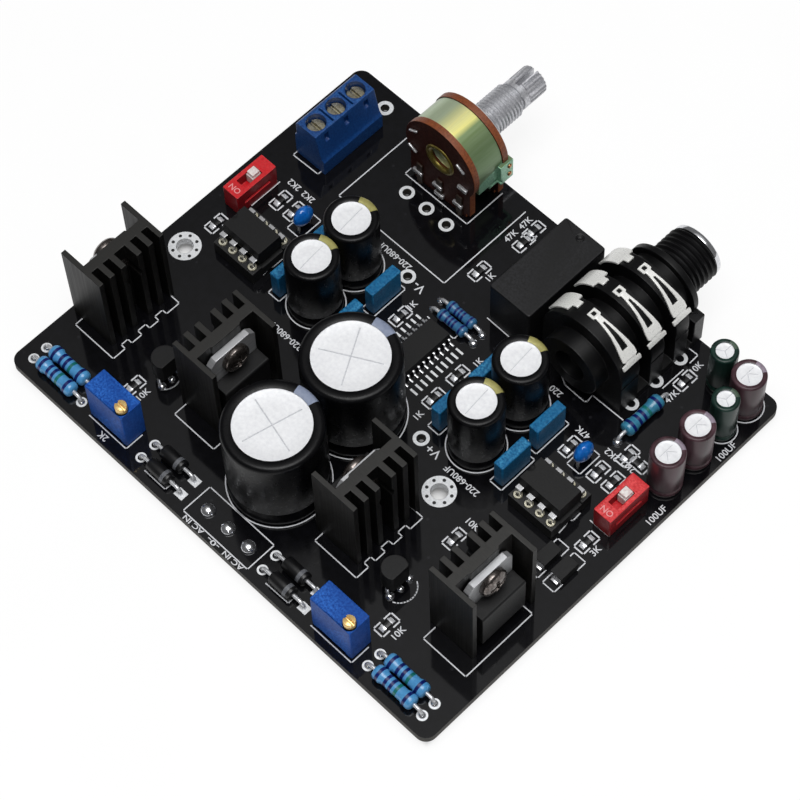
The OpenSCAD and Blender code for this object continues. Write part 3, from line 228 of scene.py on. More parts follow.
def dropLids(obj, corners=8):  # without its many-sided lids a turned piece is a tube
    choose(obj, "FACE", lambda i, face: len(face.vertices) > corners)
    bpy.ops.mesh.delete(type="FACE")
    leaveEdit()
    return obj


def cutWith(obj, tool):
    pick(obj)
    cut = obj.modifiers.new("cut", "BOOLEAN")
    cut.operation = "DIFFERENCE"
    cut.object = tool
    cut.solver = "EXACT"
    bpy.ops.object.modifier_apply(modifier=cut.name)
    bpy.data.objects.remove(tool)
    return obj


def bar(size, place=(0, 0, 0), turn=0):
    clearPick()
    bpy.ops.mesh.primitive_cube_add(size=1, location=place, rotation=(0, 0, math.radians(turn)), scale=size)
    obj = bpy.context.object
    bpy.ops.object.transform_apply(location=True, rotation=True, scale=True)
    return obj


def joined(objs, name):
    pick(*objs)
    if len(objs) > 1:
        bpy.ops.object.join()
    return named(objs[0], name)


def spread(first, name, places):  # copies of one modelled piece, and the pattern goes
    copies = [setDown(twin(first, f"{name}{i}"), f"{name}{i}", *place) for i, place in enumerate(places)]
    bpy.data.objects.remove(first)
    return copies


def dress(node, edge, finishes, rule=None, body="board", **soft):
    return fitOn(paint(softCopy(node, edge, **soft), finishes, rule), body, [node])


# shared surface effects: each group takes a place and puts out masks or heights only

def ranged(tree, source, low, high, toLow=0.0, toHigh=1.0):
    made = tree.nodes.new("ShaderNodeMapRange")
    for label, value in (("From Min", low), ("From Max", high), ("To Min", toLow), ("To Max", toHigh)):
        made.inputs[label].default_value = value
    tree.links.new(source, made.inputs["Value"])
    return made.outputs["Result"]


def worked(tree, operation, *sources, kind="ShaderNodeMath"):
    made = tree.nodes.new(kind)
    made.operation = operation
    for source, socket in zip(sources, made.inputs):
        tree.links.new(source, socket)
    return made.outputs[0]


def pattern(tree, kind, place, scale=None, **values):
    made = tree.nodes.new(kind)
    for label, value in values.items():
        made.inputs[label].default_value = value
    tree.links.new(place, made.inputs["Vector"])
    if scale:
        tree.links.new(scale, made.inputs["Scale"])
    return made.outputs


def newGroup(name, label, kind, value, outputs=("Mask",)):
    tree = bpy.data.node_groups.new(name, "ShaderNodeTree")
    tree.interface.new_socket("Vector", in_out="INPUT", socket_type="NodeSocketVector")
    tree.interface.new_socket(label, in_out="INPUT", socket_type=kind).default_value = value
    for out in outputs:
        tree.interface.new_socket(out, in_out="OUTPUT", socket_type="NodeSocketFloat")
    return tree, tree.nodes.new("NodeGroupInput").outputs, tree.nodes.new("NodeGroupOutput").inputs


fineGrain, inlet, outlet = newGroup("fineGrain", "Scale", "NodeSocketFloat", 3000.0, ("Mask", "Height"))
noise = pattern(fineGrain, "ShaderNodeTexNoise", inlet["Vector"], inlet["Scale"], Detail=4.0)
fineGrain.links.new(ranged(fineGrain, noise["Fac"], 0.32, 0.68), outlet["Mask"])
fineGrain.links.new(noise["Fac"], outlet["Height"])

drawnStreaks, inlet, outlet = newGroup("drawnStreaks", "Stretch", "NodeSocketVector", (0, 0, 0))
stretched = worked(drawnStreaks, "MULTIPLY", inlet["Vector"], inlet["Stretch"], kind="ShaderNodeVectorMath")
noise = pattern(drawnStreaks, "ShaderNodeTexNoise", stretched, Scale=1.0, Detail=5.0)
drawnStreaks.links.new(ranged(drawnStreaks, noise["Fac"], 0.3, 0.7), outlet["Mask"])

edgeRub, inlet, outlet = newGroup("edgeRub", "Scale", "NodeSocketFloat", 2500.0)
edge = ranged(edgeRub, edgeRub.nodes.new("ShaderNodeNewGeometry").outputs["Pointiness"], 0.51, 0.6)
noise = pattern(edgeRub, "ShaderNodeTexNoise", inlet["Vector"], inlet["Scale"])
patch = ranged(edgeRub, noise["Fac"], 0.35, 0.65)
edgeRub.links.new(worked(edgeRub, "MULTIPLY", edge, patch), outlet["Mask"])

dustSpecks, inlet, outlet = newGroup("dustSpecks", "Scale", "NodeSocketFloat", 500.0)
cells = pattern(dustSpecks, "ShaderNodeTexVoronoi", inlet["Vector"], inlet["Scale"])
dustSpecks.links.new(ranged(dustSpecks, cells["Distance"], 0.10, 0.04), outlet["Mask"])


class Shader:
    def __init__(self, name):
        self.material = bpy.data.materials.new(name)
        self.material.use_nodes = True
        self.tree = self.material.node_tree
        self.bsdf = self.tree.nodes["Principled BSDF"]
        self.coords = self.tree.nodes.new("ShaderNodeTexCoord")

    def node(self, kind, **values):
        made = self.tree.nodes.new(kind)
        for key, value in values.items():
            setattr(made, key, value)
        return made

    def link(self, a, b):
        self.tree.links.new(a, b)

    def put(self, value, socket):
        if isinstance(value, bpy.types.NodeSocket):
            self.link(value, socket)
        else:
            socket.default_value = value

    def feed(self, label, value):
        self.put(value, self.bsdf.inputs[label])

    def effect(self, group, **values):
        made = self.node("ShaderNodeGroup")
        made.node_tree = group
        for key, value in values.items():
            made.inputs[key].default_value = value
        self.link(self.coords.outputs["Object"], made.inputs["Vector"])
        return made

    def blend(self, mask, first, second):
        mix = self.node("ShaderNodeMix", data_type="RGBA")
        self.link(mask, mix.inputs["Factor"])
        self.put(first, mix.inputs[6])
        self.put(second, mix.inputs[7])
        return mix.outputs[2]

    def span(self, mask, low, high):
        return ranged(self.tree, mask, 0.0, 1.0, low, high)

    def split(self, source):
        made = self.node("ShaderNodeSeparateXYZ")
        self.link(source, made.inputs["Vector"])
        return made.outputs

    def relief(self, height, strength, depth):
        bump = self.node("ShaderNodeBump")
        bump.inputs["Strength"].default_value = strength
        bump.inputs["Distance"].default_value = depth
        self.link(height, bump.inputs["Height"])
        self.feed("Normal", bump.outputs["Normal"])


def surface(name, tone, tone2, rough, metal, grain, bump, depth=2e-5, streak=None, rub=None, ior=1.5, coat=0.0):
    s = Shader(name)
    grainy = s.effect(fineGrain, Scale=grain).outputs
    mask = s.effect(drawnStreaks, Stretch=streak).outputs["Mask"] if streak else grainy["Mask"]
    colour = s.blend(mask, ink(*tone), ink(*tone2))
    if rub:  # the edges are worn paler
        colour = s.blend(s.effect(edgeRub, Scale=2500.0).outputs["Mask"], colour, ink(*rub))
    s.feed("Base Color", colour)
    s.feed("Roughness", s.span(mask, *rough))
    s.relief(mask if streak else grainy["Height"], bump, depth)
    for label, value in (("Metallic", metal), ("IOR", ior), ("Coat Weight", coat), ("Coat Roughness", 0.08)):
        s.feed(label, value)
    return s.material


def boardSurface():
    s = Shader("glossBlackMask")
    grain = s.effect(fineGrain, Scale=900.0).outputs["Mask"]
    swell = s.effect(fineGrain, Scale=55.0).outputs
    normal = s.split(s.node("ShaderNodeNewGeometry").outputs["Normal"])
    side = ranged(s.tree, worked(s.tree, "ABSOLUTE", normal["Z"]), 0.7, 0.3)
    face = s.blend(grain, ink(9, 9, 11), ink(14, 14, 17))
    core = s.blend(grain, ink(26, 24, 20), ink(52, 46, 34))
    face = s.blend(s.effect(dustSpecks, Scale=260.0).outputs["Mask"], face, ink(30, 30, 33))
    s.feed("Base Color", s.blend(side, face, core))
    rough = worked(s.tree, "MAXIMUM", s.span(swell["Mask"], 0.05, 0.09), s.span(side, 0.0, 0.6))
    s.feed("Roughness", rough)
    s.relief(swell["Height"], 0.12, 2e-4)
    s.feed("IOR", 1.43)
    return s.material


def zincSurface():  # the hue drifts round the drum as passivation does, and the same ramp paints a highlight along the drum's top and painted shade down its sides
    s = Shader("passivatedZincPaintedLight")
    drumLeft, drumRight = 0.0174, 0.0342
    across = ranged(s.tree, s.split(s.coords.outputs["Object"])["X"], drumLeft, drumRight)
    # ramp across the drum: its pale middle is a painted highlight on the top, its dark ends are painted shade on the
    # sides
    hueAndLightRamp = s.node("ShaderNodeValToRGB")
    stops = [(0.0, (120, 136, 100)), (0.14, (172, 188, 156)), (0.36, (192, 206, 174)), (0.43, (222, 226, 166)),
             (0.5, (248, 243, 168)), (0.62, (242, 234, 140)), (0.68, (126, 148, 98)), (1.0, (108, 134, 96))]
    ramp = hueAndLightRamp.color_ramp
    for place, tone in stops[1:-1]:
        ramp.elements.new(place)
    for element, (place, tone) in zip(ramp.elements, stops):
        element.position = place
        element.color = ink(*tone)
    s.link(across, hueAndLightRamp.inputs["Fac"])
    lines = s.effect(drawnStreaks, Stretch=(2500.0, 120.0, 2500.0)).outputs["Mask"]
    drawn = s.blend(s.span(lines, 0.0, 0.25), hueAndLightRamp.outputs["Color"], ink(150, 165, 140))
    s.feed("Base Color", drawn)
    s.feed("Roughness", s.span(lines, 0.28, 0.42))
    s.relief(lines, 0.1, 1e-5)
    s.feed("Metallic", 0.4)
    return s.material


# finishes: name, two tones, range of roughness, metal, fineness of grain, relief

boardGloss = boardSurface()
zincDrum = zincSurface()
padTin = surface("tinnedPad", (236, 238, 240), (212, 214, 217), (0.3, 0.46), 0.15, 2600, 0.3)
solderTin = surface("solder", (240, 241, 244), (206, 208, 213), (0.16, 0.34), 0.45, 1800, 0.35)
solderShine = surface("solderShine", (240, 241, 244), (214, 216, 221), (0.1, 0.2), 0.95, 900, 0.25)
wireTin = surface("tinnedWire", (234, 235, 238), (200, 202, 206), (0.18, 0.32), 0.6, 3000, 0.2)
# black for the via dots: painted shade standing in for the via holes
viaHoleShade = surface("viaHoleShade", (10, 10, 11), (20, 20, 22), (0.5, 0.7), 0.0, 4000, 0.2)
silkWhite = surface("silkPrint", (226, 227, 230), (200, 202, 207), (0.5, 0.65), 0.0, 6000, 0.3)
terminalBlue = surface("terminalBlue", (12, 58, 118), (8, 47, 102), (0.36, 0.48), 0.0, 2600, 0.06,
                       rub=(40, 92, 156), ior=1.4)
screwSteel = surface("platedScrew", (222, 216, 190), (150, 140, 112), (0.12, 0.26), 0.95, 900, 0.2,
                     rub=(250, 246, 228))
clampSteel = surface("clampSteel", (180, 182, 186), (140, 142, 148), (0.25, 0.4), 0.9, 2200, 0.3)
laminateFace = surface("laminateFace", (58, 21, 10), (44, 14, 7), (0.5, 0.62), 0.0, 2200, 0.1, ior=1.3)
laminateEdge = surface("laminateEdge", (128, 66, 33), (100, 47, 22), (0.42, 0.58), 0.0, 2600, 0.15,
                       rub=(160, 92, 50))
eyeletBrass = surface("eyeletBrass", (150, 136, 66), (112, 98, 44), (0.25, 0.4), 0.7, 2600, 0.2)
rivetBrass = surface("rivetBrass", (196, 142, 96), (150, 98, 62), (0.22, 0.36), 0.8, 2600, 0.2)
castMetal = surface("castMetal", (204, 205, 209), (164, 165, 171), (0.3, 0.45), 0.6, 3200, 0.25,
                    rub=(226, 226, 230))
mintTab = surface("zincTab", (150, 198, 168), (120, 168, 140), (0.3, 0.45), 0.45, 2400, 0.25)
relayBlack = surface("relayBlack", (12, 12, 14), (9, 9, 10), (0.42, 0.54), 0.0, 3400, 0.05,
                     rub=(30, 30, 33), ior=1.4)
jackBlack = surface("jackBlack", (9, 9, 10), (6, 6, 7), (0.34, 0.46), 0.0, 2600, 0.06,
                    rub=(22, 22, 24), ior=1.33)
chrome = surface("chromeRing", (226, 227, 230), (205, 206, 210), (0.08, 0.16), 0.9, 2200, 0.1)
springTin = surface("springTin", (247, 247, 244), (236, 236, 232), (0.24, 0.34), 0.15, 2400, 0.04)
onPink = surface("switchPrint", (236, 160, 160), (222, 138, 140), (0.4, 0.55), 0.0, 4000, 0.15)
switchRed = surface("switchRed", (206, 24, 34), (186, 18, 28), (0.26, 0.38), 0.0, 2600, 0.15, rub=(230, 74, 76))
# a darker copy of the switch red, used as painted shade on the sides
switchRedPaintedShade = surface("switchRedPaintedShade", (150, 14, 24), (128, 10, 20), (0.3, 0.42), 0.0, 2600, 0.15)
sliderWhite = surface("sliderWhite", (226, 208, 206), (208, 190, 188), (0.32, 0.45), 0.0, 2600, 0.12,
                      rub=(246, 244, 240))
socketBlack = surface("socketBlack", (14, 14, 15), (10, 10, 11), (0.45, 0.6), 0.0, 3000, 0.2)
contactGold = surface("turnedContact", (238, 234, 216), (206, 200, 172), (0.16, 0.3), 0.5, 2200, 0.15)
mouldBlack = surface("mouldedBlack", (13, 13, 14), (9, 9, 10), (0.48, 0.6), 0.0, 4200, 0.08, ior=1.38)
strapTin = surface("dullTin", (70, 58, 50), (48, 38, 32), (0.35, 0.5), 0.4, 2600, 0.2)
legTin = surface("legTin", (230, 230, 232), (190, 191, 194), (0.18, 0.32), 0.7, 2600, 0.2)
anodised = surface("blackAnodised", (10, 10, 10), (6, 6, 6), (0.4, 0.52), 0.0, 3000, 0.1, 1e-5,
                   streak=(2600.0, 2600.0, 60.0), rub=(28, 27, 25), ior=1.28)
sawnEnd = surface("sawnEnd", (27, 26, 23), (19, 18, 16), (0.42, 0.54), 0.1, 3000, 0.15, 1e-5,
                  streak=(900.0, 3600.0, 200.0))
tabMetal = surface("tabMetal", (206, 207, 209), (176, 177, 180), (0.3, 0.44), 0.6, 2600, 0.2,
                   streak=(200.0, 200.0, 3200.0))
screwDark = surface("panScrew", (120, 112, 108), (58, 52, 50), (0.16, 0.3), 0.9, 2200, 0.2, rub=(170, 164, 160))
sleeveBlack = surface("sleeveBlack", (11, 11, 13), (7, 7, 9), (0.26, 0.36), 0.0, 1400, 0.1, ior=1.27)
sleeveStripe = surface("sleeveStripe", (142, 152, 174), (124, 134, 158), (0.28, 0.4), 0.0, 1400, 0.2)
sleeveGold = surface("sleeveGold", (172, 166, 100), (150, 144, 84), (0.3, 0.42), 0.2, 1400, 0.2)
sleeveBrown = surface("sleeveBrown", (46, 27, 31), (84, 58, 66), (0.26, 0.36), 0.0, 1400, 0.06,
                      streak=(520.0, 520.0, 14.0), ior=1.35)
sleeveMauve = surface("sleeveMauve", (150, 138, 152), (126, 112, 126), (0.28, 0.4), 0.0, 1400, 0.2)
sleeveGreen = surface("sleeveGreen", (13, 33, 28), (30, 58, 50), (0.26, 0.36), 0.0, 1400, 0.06,
                      streak=(520.0, 520.0, 14.0), ior=1.35)
sleeveOlive = surface("sleeveOlive", (74, 92, 76), (58, 76, 62), (0.28, 0.4), 0.0, 1400, 0.2)
canTop = surface("canAluminium", (242, 243, 245), (230, 231, 234), (0.45, 0.58), 0.1, 1500, 0.08)
# the grey in the floors of the pressed lines is painted shade
scoreShade = surface("scoreShade", (208, 209, 213), (186, 188, 193), (0.4, 0.55), 0.1, 2600, 0.2)
filmBlue = surface("filmBlue", (20, 98, 146), (12, 78, 124), (0.28, 0.4), 0.0, 2200, 0.05,
                   rub=(60, 140, 184), ior=1.28)
dippedBlue = surface("dippedBlue", (24, 112, 200), (16, 92, 178), (0.1, 0.18), 0.0, 1500, 0.3, coat=0.5)
trimmerBlue = surface("trimmerBlue", (12, 70, 154), (8, 56, 134), (0.4, 0.52), 0.0, 2600, 0.06,
                      rub=(44, 106, 196), ior=1.25)
brass = surface("brass", (246, 214, 146), (226, 184, 112), (0.2, 0.34), 0.45, 2400, 0.2)
resistorBlue = surface("resistorBlue", (86, 156, 208), (68, 138, 192), (0.22, 0.34), 0.0, 2200, 0.25, coat=0.3)
resistorTeal = surface("resistorTeal", (66, 138, 168), (52, 118, 150), (0.22, 0.34), 0.0, 2200, 0.25, coat=0.3)
bandNavy = surface("bandNavy", (14, 30, 104), (10, 22, 84), (0.24, 0.36), 0.0, 2200, 0.25, coat=0.3)
bandGreen = surface("bandGreen", (24, 116, 112), (18, 96, 94), (0.24, 0.36), 0.0, 2200, 0.25, coat=0.3)
smallResistor = surface("smallResistorBlue", (62, 116, 158), (48, 98, 138), (0.26, 0.38), 0.0, 2200, 0.25)
diodeBlack = surface("diodeBlack", (16, 16, 18), (11, 11, 12), (0.3, 0.42), 0.0, 3200, 0.2)
diodeBand = surface("diodeBand", (112, 114, 118), (84, 86, 92), (0.3, 0.45), 0.1, 3200, 0.2)
chipFace = surface("chipGlaze", (16, 16, 18), (11, 11, 12), (0.2, 0.32), 0.0, 4200, 0.2)
print("finishes ready:", len(bpy.data.materials))

# CAD nodes that keep their own shape

keptNodes = {
    "circuit_board": boardGloss, "solder_joints": solderTin, "component_leads": wireTin,
    "terminal_contacts": clampSteel, "terminal_clamp_1": clampSteel, "terminal_clamp_2": clampSteel,
    "terminal_clamp_3": clampSteel, "socket_contacts": contactGold,
}
for node, finish in keptNodes.items():
    mesh = frame["nodes"][node].data
    mesh.materials.clear()
    mesh.materials.append(finish)
print("kept nodes dressed:", len(keptNodes))

# bevelled copies of the moulded and pressed pieces

softPieces = {  # node: body, edge radius in mm, finish
    "terminal_housing": ("board", 0.14, terminalBlue),
    "terminal_screw_1": ("terminal_screw_1", 0.12, screwSteel),
    "terminal_screw_2": ("terminal_screw_2", 0.12, screwSteel),
    "terminal_screw_3": ("terminal_screw_3", 0.12, screwSteel),
    "volume_terminals": ("board", 0.06, strapTin),
    "relay_case": ("board", 0.3, relayBlack),
    "jack_switch_contacts": ("board", 0.08, springTin),
    "left_switch_slider": ("left_switch_slider", 0.1, sliderWhite),
    "right_switch_slider": ("right_switch_slider", 0.1, sliderWhite),
    "left_socket": ("board", 0.08, socketBlack),
    "right_socket": ("board", 0.08, socketBlack),
    "transistor_tabs": ("board", 0.08, tabMetal),
    "transistor_bodies": ("board", 0.14, mouldBlack),
    "transistor_screws": ("board", 0.1, screwDark),
    "film_capacitors": ("board", 0.28, filmBlue),
    "left_trimmer_body": ("board", 0.16, trimmerBlue),
    "right_trimmer_body": ("board", 0.16, trimmerBlue),
    "left_trimmer_screw": ("left_trimmer_screw", 0.12, brass),
    "right_trimmer_screw": ("right_trimmer_screw", 0.12, brass),
    "voltage_regulators": ("board", 0.16, mouldBlack),
}
switches = ("left_switch_body", "right_switch_body")
heatsinks = ("heatsink_1", "heatsink_2", "heatsink_3", "heatsink_4")
ringFront = 96.3
for node, (body, edge, finish) in softPieces.items():
    dress(node, edge, [finish], body=body)
# the switch bodies' sides take the darker red as painted shade, and the top keeps the plain red
for node in switches:
    dress(node, 0.12, [switchRed, switchRedPaintedShade], lambda c, n: abs(n.z) < 0.5)
for node in heatsinks:  # the sawn tops of the extrusion are paler
    dress(node, 0.1, [anodised, sawnEnd], lambda c, n: n.z > 0.6)
dress("jack_ring", 0.2, [jackBlack, chrome], lambda c, n: onBoard(c)[1] > ringFront)
print("moulded and pressed pieces:", len(softPieces) + len(switches) + len(heatsinks) + 1)

# amplifiers in their sockets, the surface chip and the surface diodes: moulded bodies with bright legs

legs = {"leftY": 46.0, "rightY": 46.2, "opampHalf": 3.02, "opampFoot": 3.5, "chipX": 50.85, "chipHalf": 2.66,
        "diodeY": 38.3, "diodeReach": 2.4, "diodeHalf": 0.26}
legPlaces = {  # the faces that are legs, by their place on the board
    "left_opamp": lambda x, y, z: abs(y - legs["leftY"]) > legs["opampHalf"] or z < legs["opampFoot"],
    "right_opamp": lambda x, y, z: abs(y - legs["rightY"]) > legs["opampHalf"] or z < legs["opampFoot"],
    "amplifier_chip": lambda x, y, z: abs(x - legs["chipX"]) > legs["chipHalf"],
    "surface_diodes": lambda x, y, z: abs(abs(y - legs["diodeY"]) - legs["diodeReach"]) < legs["diodeHalf"],
}
for node, isLeg in legPlaces.items():
    dress(node, 0.07, [mouldBlack, legTin], lambda c, n: isLeg(*onBoard(c)))
print("chips:", len(legPlaces))

# dipped ceramics

dress("ceramic_capacitors", 0.2, [dippedBlue], segments=3, shade=60)

# electrolytic capacitors: shrunk sleeve over the can, bare scored top

canSink = 0.35  # depth of the bare top under the sleeve's rim
canKinds = {
    "filter": {"d": 18.0, "h": 20.0, "rim": 2.1, "steps": 96, "sleeve": sleeveBlack, "stripe": sleeveStripe,
               "stripeHalf": 15, "stripeTurn": 90, "scoreWidth": 0.26},
    "rail": {"d": 10.0, "h": 16.0, "rim": 1.5, "steps": 72, "sleeve": sleeveBlack, "stripe": sleeveGold,
             "stripeHalf": 24, "stripeTurn": 90, "scoreWidth": 0.14},
    "coupling": {"d": 6.3, "h": 11.0, "rim": 0.9, "steps": 48, "sleeve": sleeveBrown, "stripe": sleeveMauve,
                 "stripeHalf": 26, "stripeTurn": 80, "scoreWidth": 0.12},
    "bypass": {"d": 5.0, "h": 11.0, "rim": 0.9, "steps": 48, "sleeve": sleeveGreen, "stripe": sleeveOlive,
               "stripeHalf": 26, "stripeTurn": 80, "scoreWidth": 0.12},
}
canScores = {  # turn, length and middle of each pressed line on a top
    "cross1": [(29, 11.6, 0, 0), (119.5, 11.6, 0, 0)], "cross2": [(-14, 11.6, 0, 0), (76, 11.6, 0, 0)],
    "line": [(95, 6.0, 0, 0)], "wye": [(90, 1.8, 0, 0.9), (210, 1.8, -0.78, -0.45), (330, 1.8, 0.78, -0.45)],
    "kay": [(90, 3.2, -0.5, 0), (40, 1.7, 0.35, 0.6), (140, 1.7, 0.35, -0.6)],
}
canPlaces = {  # kind, pressed lines and the places on the board
    "filter_capacitor_1": ("filter", "cross1", [(51.7, 35.3)]),
    "filter_capacitor_2": ("filter", "cross2", [(51.7, 16.9)]),
    "rail_capacitor_1": ("rail", "line", [(30.3, 56.3)]),
    "rail_capacitor_2": ("rail", "line", [(30.9, 46.0)]),
    "rail_capacitor_3": ("rail", "line", [(71.1, 56.5)]),
    "rail_capacitor_4": ("rail", "line", [(71.4, 45.4)]),
    "coupling_capacitors": ("coupling", "kay", [(99.2, 83.5), (99.5, 70.1), (99.4, 62.8)]),
    "bypass_capacitors": ("bypass", "wye", [(93.1, 84.1), (99.5, 77.2)]),
}


def sleevedCan(name, kind, scores):
    r, h, rim, sink = kind["d"] / 2, kind["h"], kind["rim"], canSink
    foot, groove, grooveZ = kind["d"] * 0.04, kind["d"] * 0.035, h * 0.14
    edge = rim * 0.45
    rings = [(r - foot - 0.6, 0.15), (r - foot - 0.4, 0.0), (r - foot, 0.0), (r - foot * 0.3, foot * 0.3), (r, foot)]
    rings += [(r, grooveZ - 2 * groove), (r - groove * 0.55, grooveZ - groove), (r - groove, grooveZ),
              (r - groove * 0.55, grooveZ + groove), (r, grooveZ + 2 * groove), (r, h * 0.6)]
    rings += [(r - edge + edge * math.cos(a), h - edge + edge * math.sin(a)) for a in radians(range(0, 91, 15))]
    rings += [(r - rim + 0.12, h), (r - rim + 0.02, h - 0.05), (r - rim, h - 0.12), (r - rim - 0.02, h - sink + 0.04),
              (r - rim - 0.1, h - sink), ((r - rim) * 0.55, h - sink + 0.03), ((r - rim) * 0.12, h - sink + 0.04)]
    can = turned(name, rings, kind["steps"])
    for turn, length, offX, offY in scores:
        cutWith(can, bar((length, kind["scoreWidth"], 0.4), (offX, offY, h - sink + 0.14), turn))
    half = math.radians(kind["stripeHalf"])

    def rule(c, n):
        reach = math.hypot(c.x, c.y)
        if reach < r - rim - 0.005 and c.z > h - 1:
            return 3 if c.z < h - sink - 0.02 else 1  # the pressed lines are the lowest faces of the top; their floors take a grey that is painted shade
        along = math.atan2(c.y, c.x) - math.radians(kind["stripeTurn"])
        along = (along + math.pi) % (2 * math.pi) - math.pi
        return 2 if abs(along) < half and c.z > grooveZ else 0
    paint(can, [kind["sleeve"], canTop, kind["stripe"], scoreShade], rule)
    return smooth(can, 40)


canCount = 0
for node, (kindName, scoreName, places) in canPlaces.items():
    first = sleevedCan(node + "Can", canKinds[kindName], canScores[scoreName])
    cans = spread(first, node + "Can", [(spot(x, y),) for x, y in places])
    fitOn(joined(cans, node + "Shown"), "board", [node])
    canCount += len(cans)
print("electrolytic capacitors:", canCount)

# resistors and diodes: waisted bodies with painted bands

longBands = [(-3.2, bandNavy), (-1.5, bandNavy), (-0.3, bandNavy), (0.9, bandGreen), (3.1, bandNavy)]
shortBands = [(-2.2, bandNavy), (-1.0, bandNavy), (-0.2, bandNavy), (0.6, bandNavy), (2.2, bandNavy)]
resistorKinds = {
    "large": {"l": 9.0, "d": 2.9, "body": resistorBlue, "bands": longBands, "bandWidth": 0.62},
    "teal": {"l": 9.0, "d": 2.9, "body": resistorTeal, "bands": longBands, "bandWidth": 0.62},
    "small": {"l": 6.3, "d": 2.2, "body": smallResistor, "bands": shortBands, "bandWidth": 0.42},
}
resistorPlaces = {
    "large": [(9.45, 3.2, 0), (9.45, 6.25, 0), (93.75, 3.05, 0), (93.75, 5.95, 0)],
    "teal": [(88.4, 69.2, 90)],
    "small": [(51.7, 61.9, 0), (51.7, 59.6, 0)],
}


def bandedResistor(name, kind):
    l, r = kind["l"], kind["d"] / 2
    waist, cap, ease, half = r * 0.84, l * 0.2, l * 0.05, l / 2
    rings = [(0.35, -half), (r * 0.55, -half + 0.02), (r * 0.82, -half + ease * 0.35), (r * 0.96, -half + ease),
             (r, -half + ease * 2), (r, -half + cap), (waist, -half + cap + ease)]
    marks = []
    for centre, tone in kind["bands"]:
        marks += [centre - kind["bandWidth"] / 2, centre + kind["bandWidth"] / 2]

    def radiusAt(z):
        z = abs(z)
        if z > half - cap:
            return r
        if z > half - cap - ease:
            return waist + (r - waist) * (z - (half - cap - ease)) / ease
        return waist
    inner = [(radiusAt(m), m) for m in marks]
    mirrored = [(a, -b) for a, b in reversed(rings)]
    every = sorted(rings + inner + mirrored, key=lambda p: p[1])
    body = turned(name, every, 32)

    def rule(c, n):
        for i, (centre, tone) in enumerate(kind["bands"]):
            if abs(c.z - centre) < kind["bandWidth"] / 2:
                return i + 1
        return 0
    paint(body, [kind["body"]] + [tone for _, tone in kind["bands"]], rule)
    return smooth(body, 50)


resistors = []
for kindName, kind in resistorKinds.items():
    resistors += spread(bandedResistor(kindName + "Resistor", kind), kindName + "Resistor",
                        [(spot(x, y, kind["d"] / 2), (0, 90, turn)) for x, y, turn in resistorPlaces[kindName]])
fitOn(joined(resistors, "axialResistorsShown"), "board", ["axial_resistors"])

diode = {"l": 5.2, "d": 2.7, "band": (1.0, 1.75), "places": [(36.5, 3.1), (36.4, 6.45), (67.2, 2.95), (66.9, 6.4)]}
half, r = diode["l"] / 2, diode["d"] / 2
bandLow, bandHigh = diode["band"]
first = turned("rectifier", [(0.4, -half), (r - 0.35, -half), (r - 0.1, -half + 0.1), (r, -half + 0.35),
                             (r, bandLow), (r, bandHigh), (r, half - 0.35), (r - 0.1, half - 0.1),
                             (r - 0.35, half), (0.4, half)], 32)
paint(first, [diodeBlack, diodeBand], lambda c, n: bandLow < c.z < bandHigh)
diodes = spread(smooth(first, 50), "rectifier", [(spot(x, y, r), (0, 90, 0)) for x, y in diode["places"]])
fitOn(joined(diodes, "rectifierDiodesShown"), "board", ["rectifier_diodes"])
print("resistors and diodes:", len(resistors), len(diodes))

# chip resistors: glazed slab, wrapped tin ends and solder fillets

chip = {"l": 2.0, "w": 1.25, "t": 0.5, "cap": 0.38, "round": 0.05,
        "filletL": 0.5, "filletH": 0.34, "filletOut": 0.22, "filletIn": 0.1, "filletDrop": 0.28, "filletRound": 0.08,
        "places": [(10.65, 56.8, 90), (14.2, 56.9, 90), (5.8, 45.2, 90), (20, 11.8, 90), (43.65, 54.6, 90),
                   (59.4, 53.1, 90), (59.6, 46.9, 90), (47.2, 71.1, 90), (48.3, 84.1, 90), (48.7, 81, 90),
                   (83.2, 56.5, 90), (90, 56.3, 90), (93.2, 56.6, 90), (97.8, 45.1, 90), (93.7, 62.2, 0),
                   (91.5, 62.1, 90), (88.6, 80, 90), (84.4, 10.5, 90), (81.3, 29.9, 90)]}


def chipResistor():
    half = chip["l"] / 2
    slab = bar((chip["l"], chip["w"], chip["t"]), (0, 0, chip["t"] / 2))
    startEdit(slab)
    for side in (-1, 1):
        selectAll()
        bpy.ops.mesh.bisect(plane_co=(side * (half - chip["cap"]), 0, 0), plane_no=(1, 0, 0))
    leaveEdit()
    roundEdges(slab, chip["round"])
    paint(slab, [chipFace, solderTin], lambda c, n: abs(c.x) > half - chip["cap"])
    ends = [slab]
    for side in (-1, 1):  # a solder fillet slopes from each end to its pad
        middle = half + chip["filletOut"]
        fillet = bar((chip["filletL"], chip["w"] - chip["filletIn"], chip["filletH"]),
                     (side * middle, 0, chip["filletH"] / 2))
        choose(fillet, "VERT", lambda i, v: v.co.z > chip["filletH"] / 2 and v.co.x * side > middle)
        bpy.ops.transform.translate(value=(0, 0, -chip["filletDrop"]))
        leaveEdit()
        roundEdges(fillet, chip["filletRound"])
        ends.append(paint(fillet, [solderTin]))
    return smooth(joined(ends, "chipResistor"), 45)


chips = spread(chipResistor(), "chip", [(spot(x, y), (0, 0, turn)) for x, y, turn in chip["places"]])
fitOn(joined(chips, "chipResistorsShown"), "board", ["chip_resistors"])
print("chip resistors:", len(chips))

# volume control: wafers, drum, threaded bushing and knurled shaft

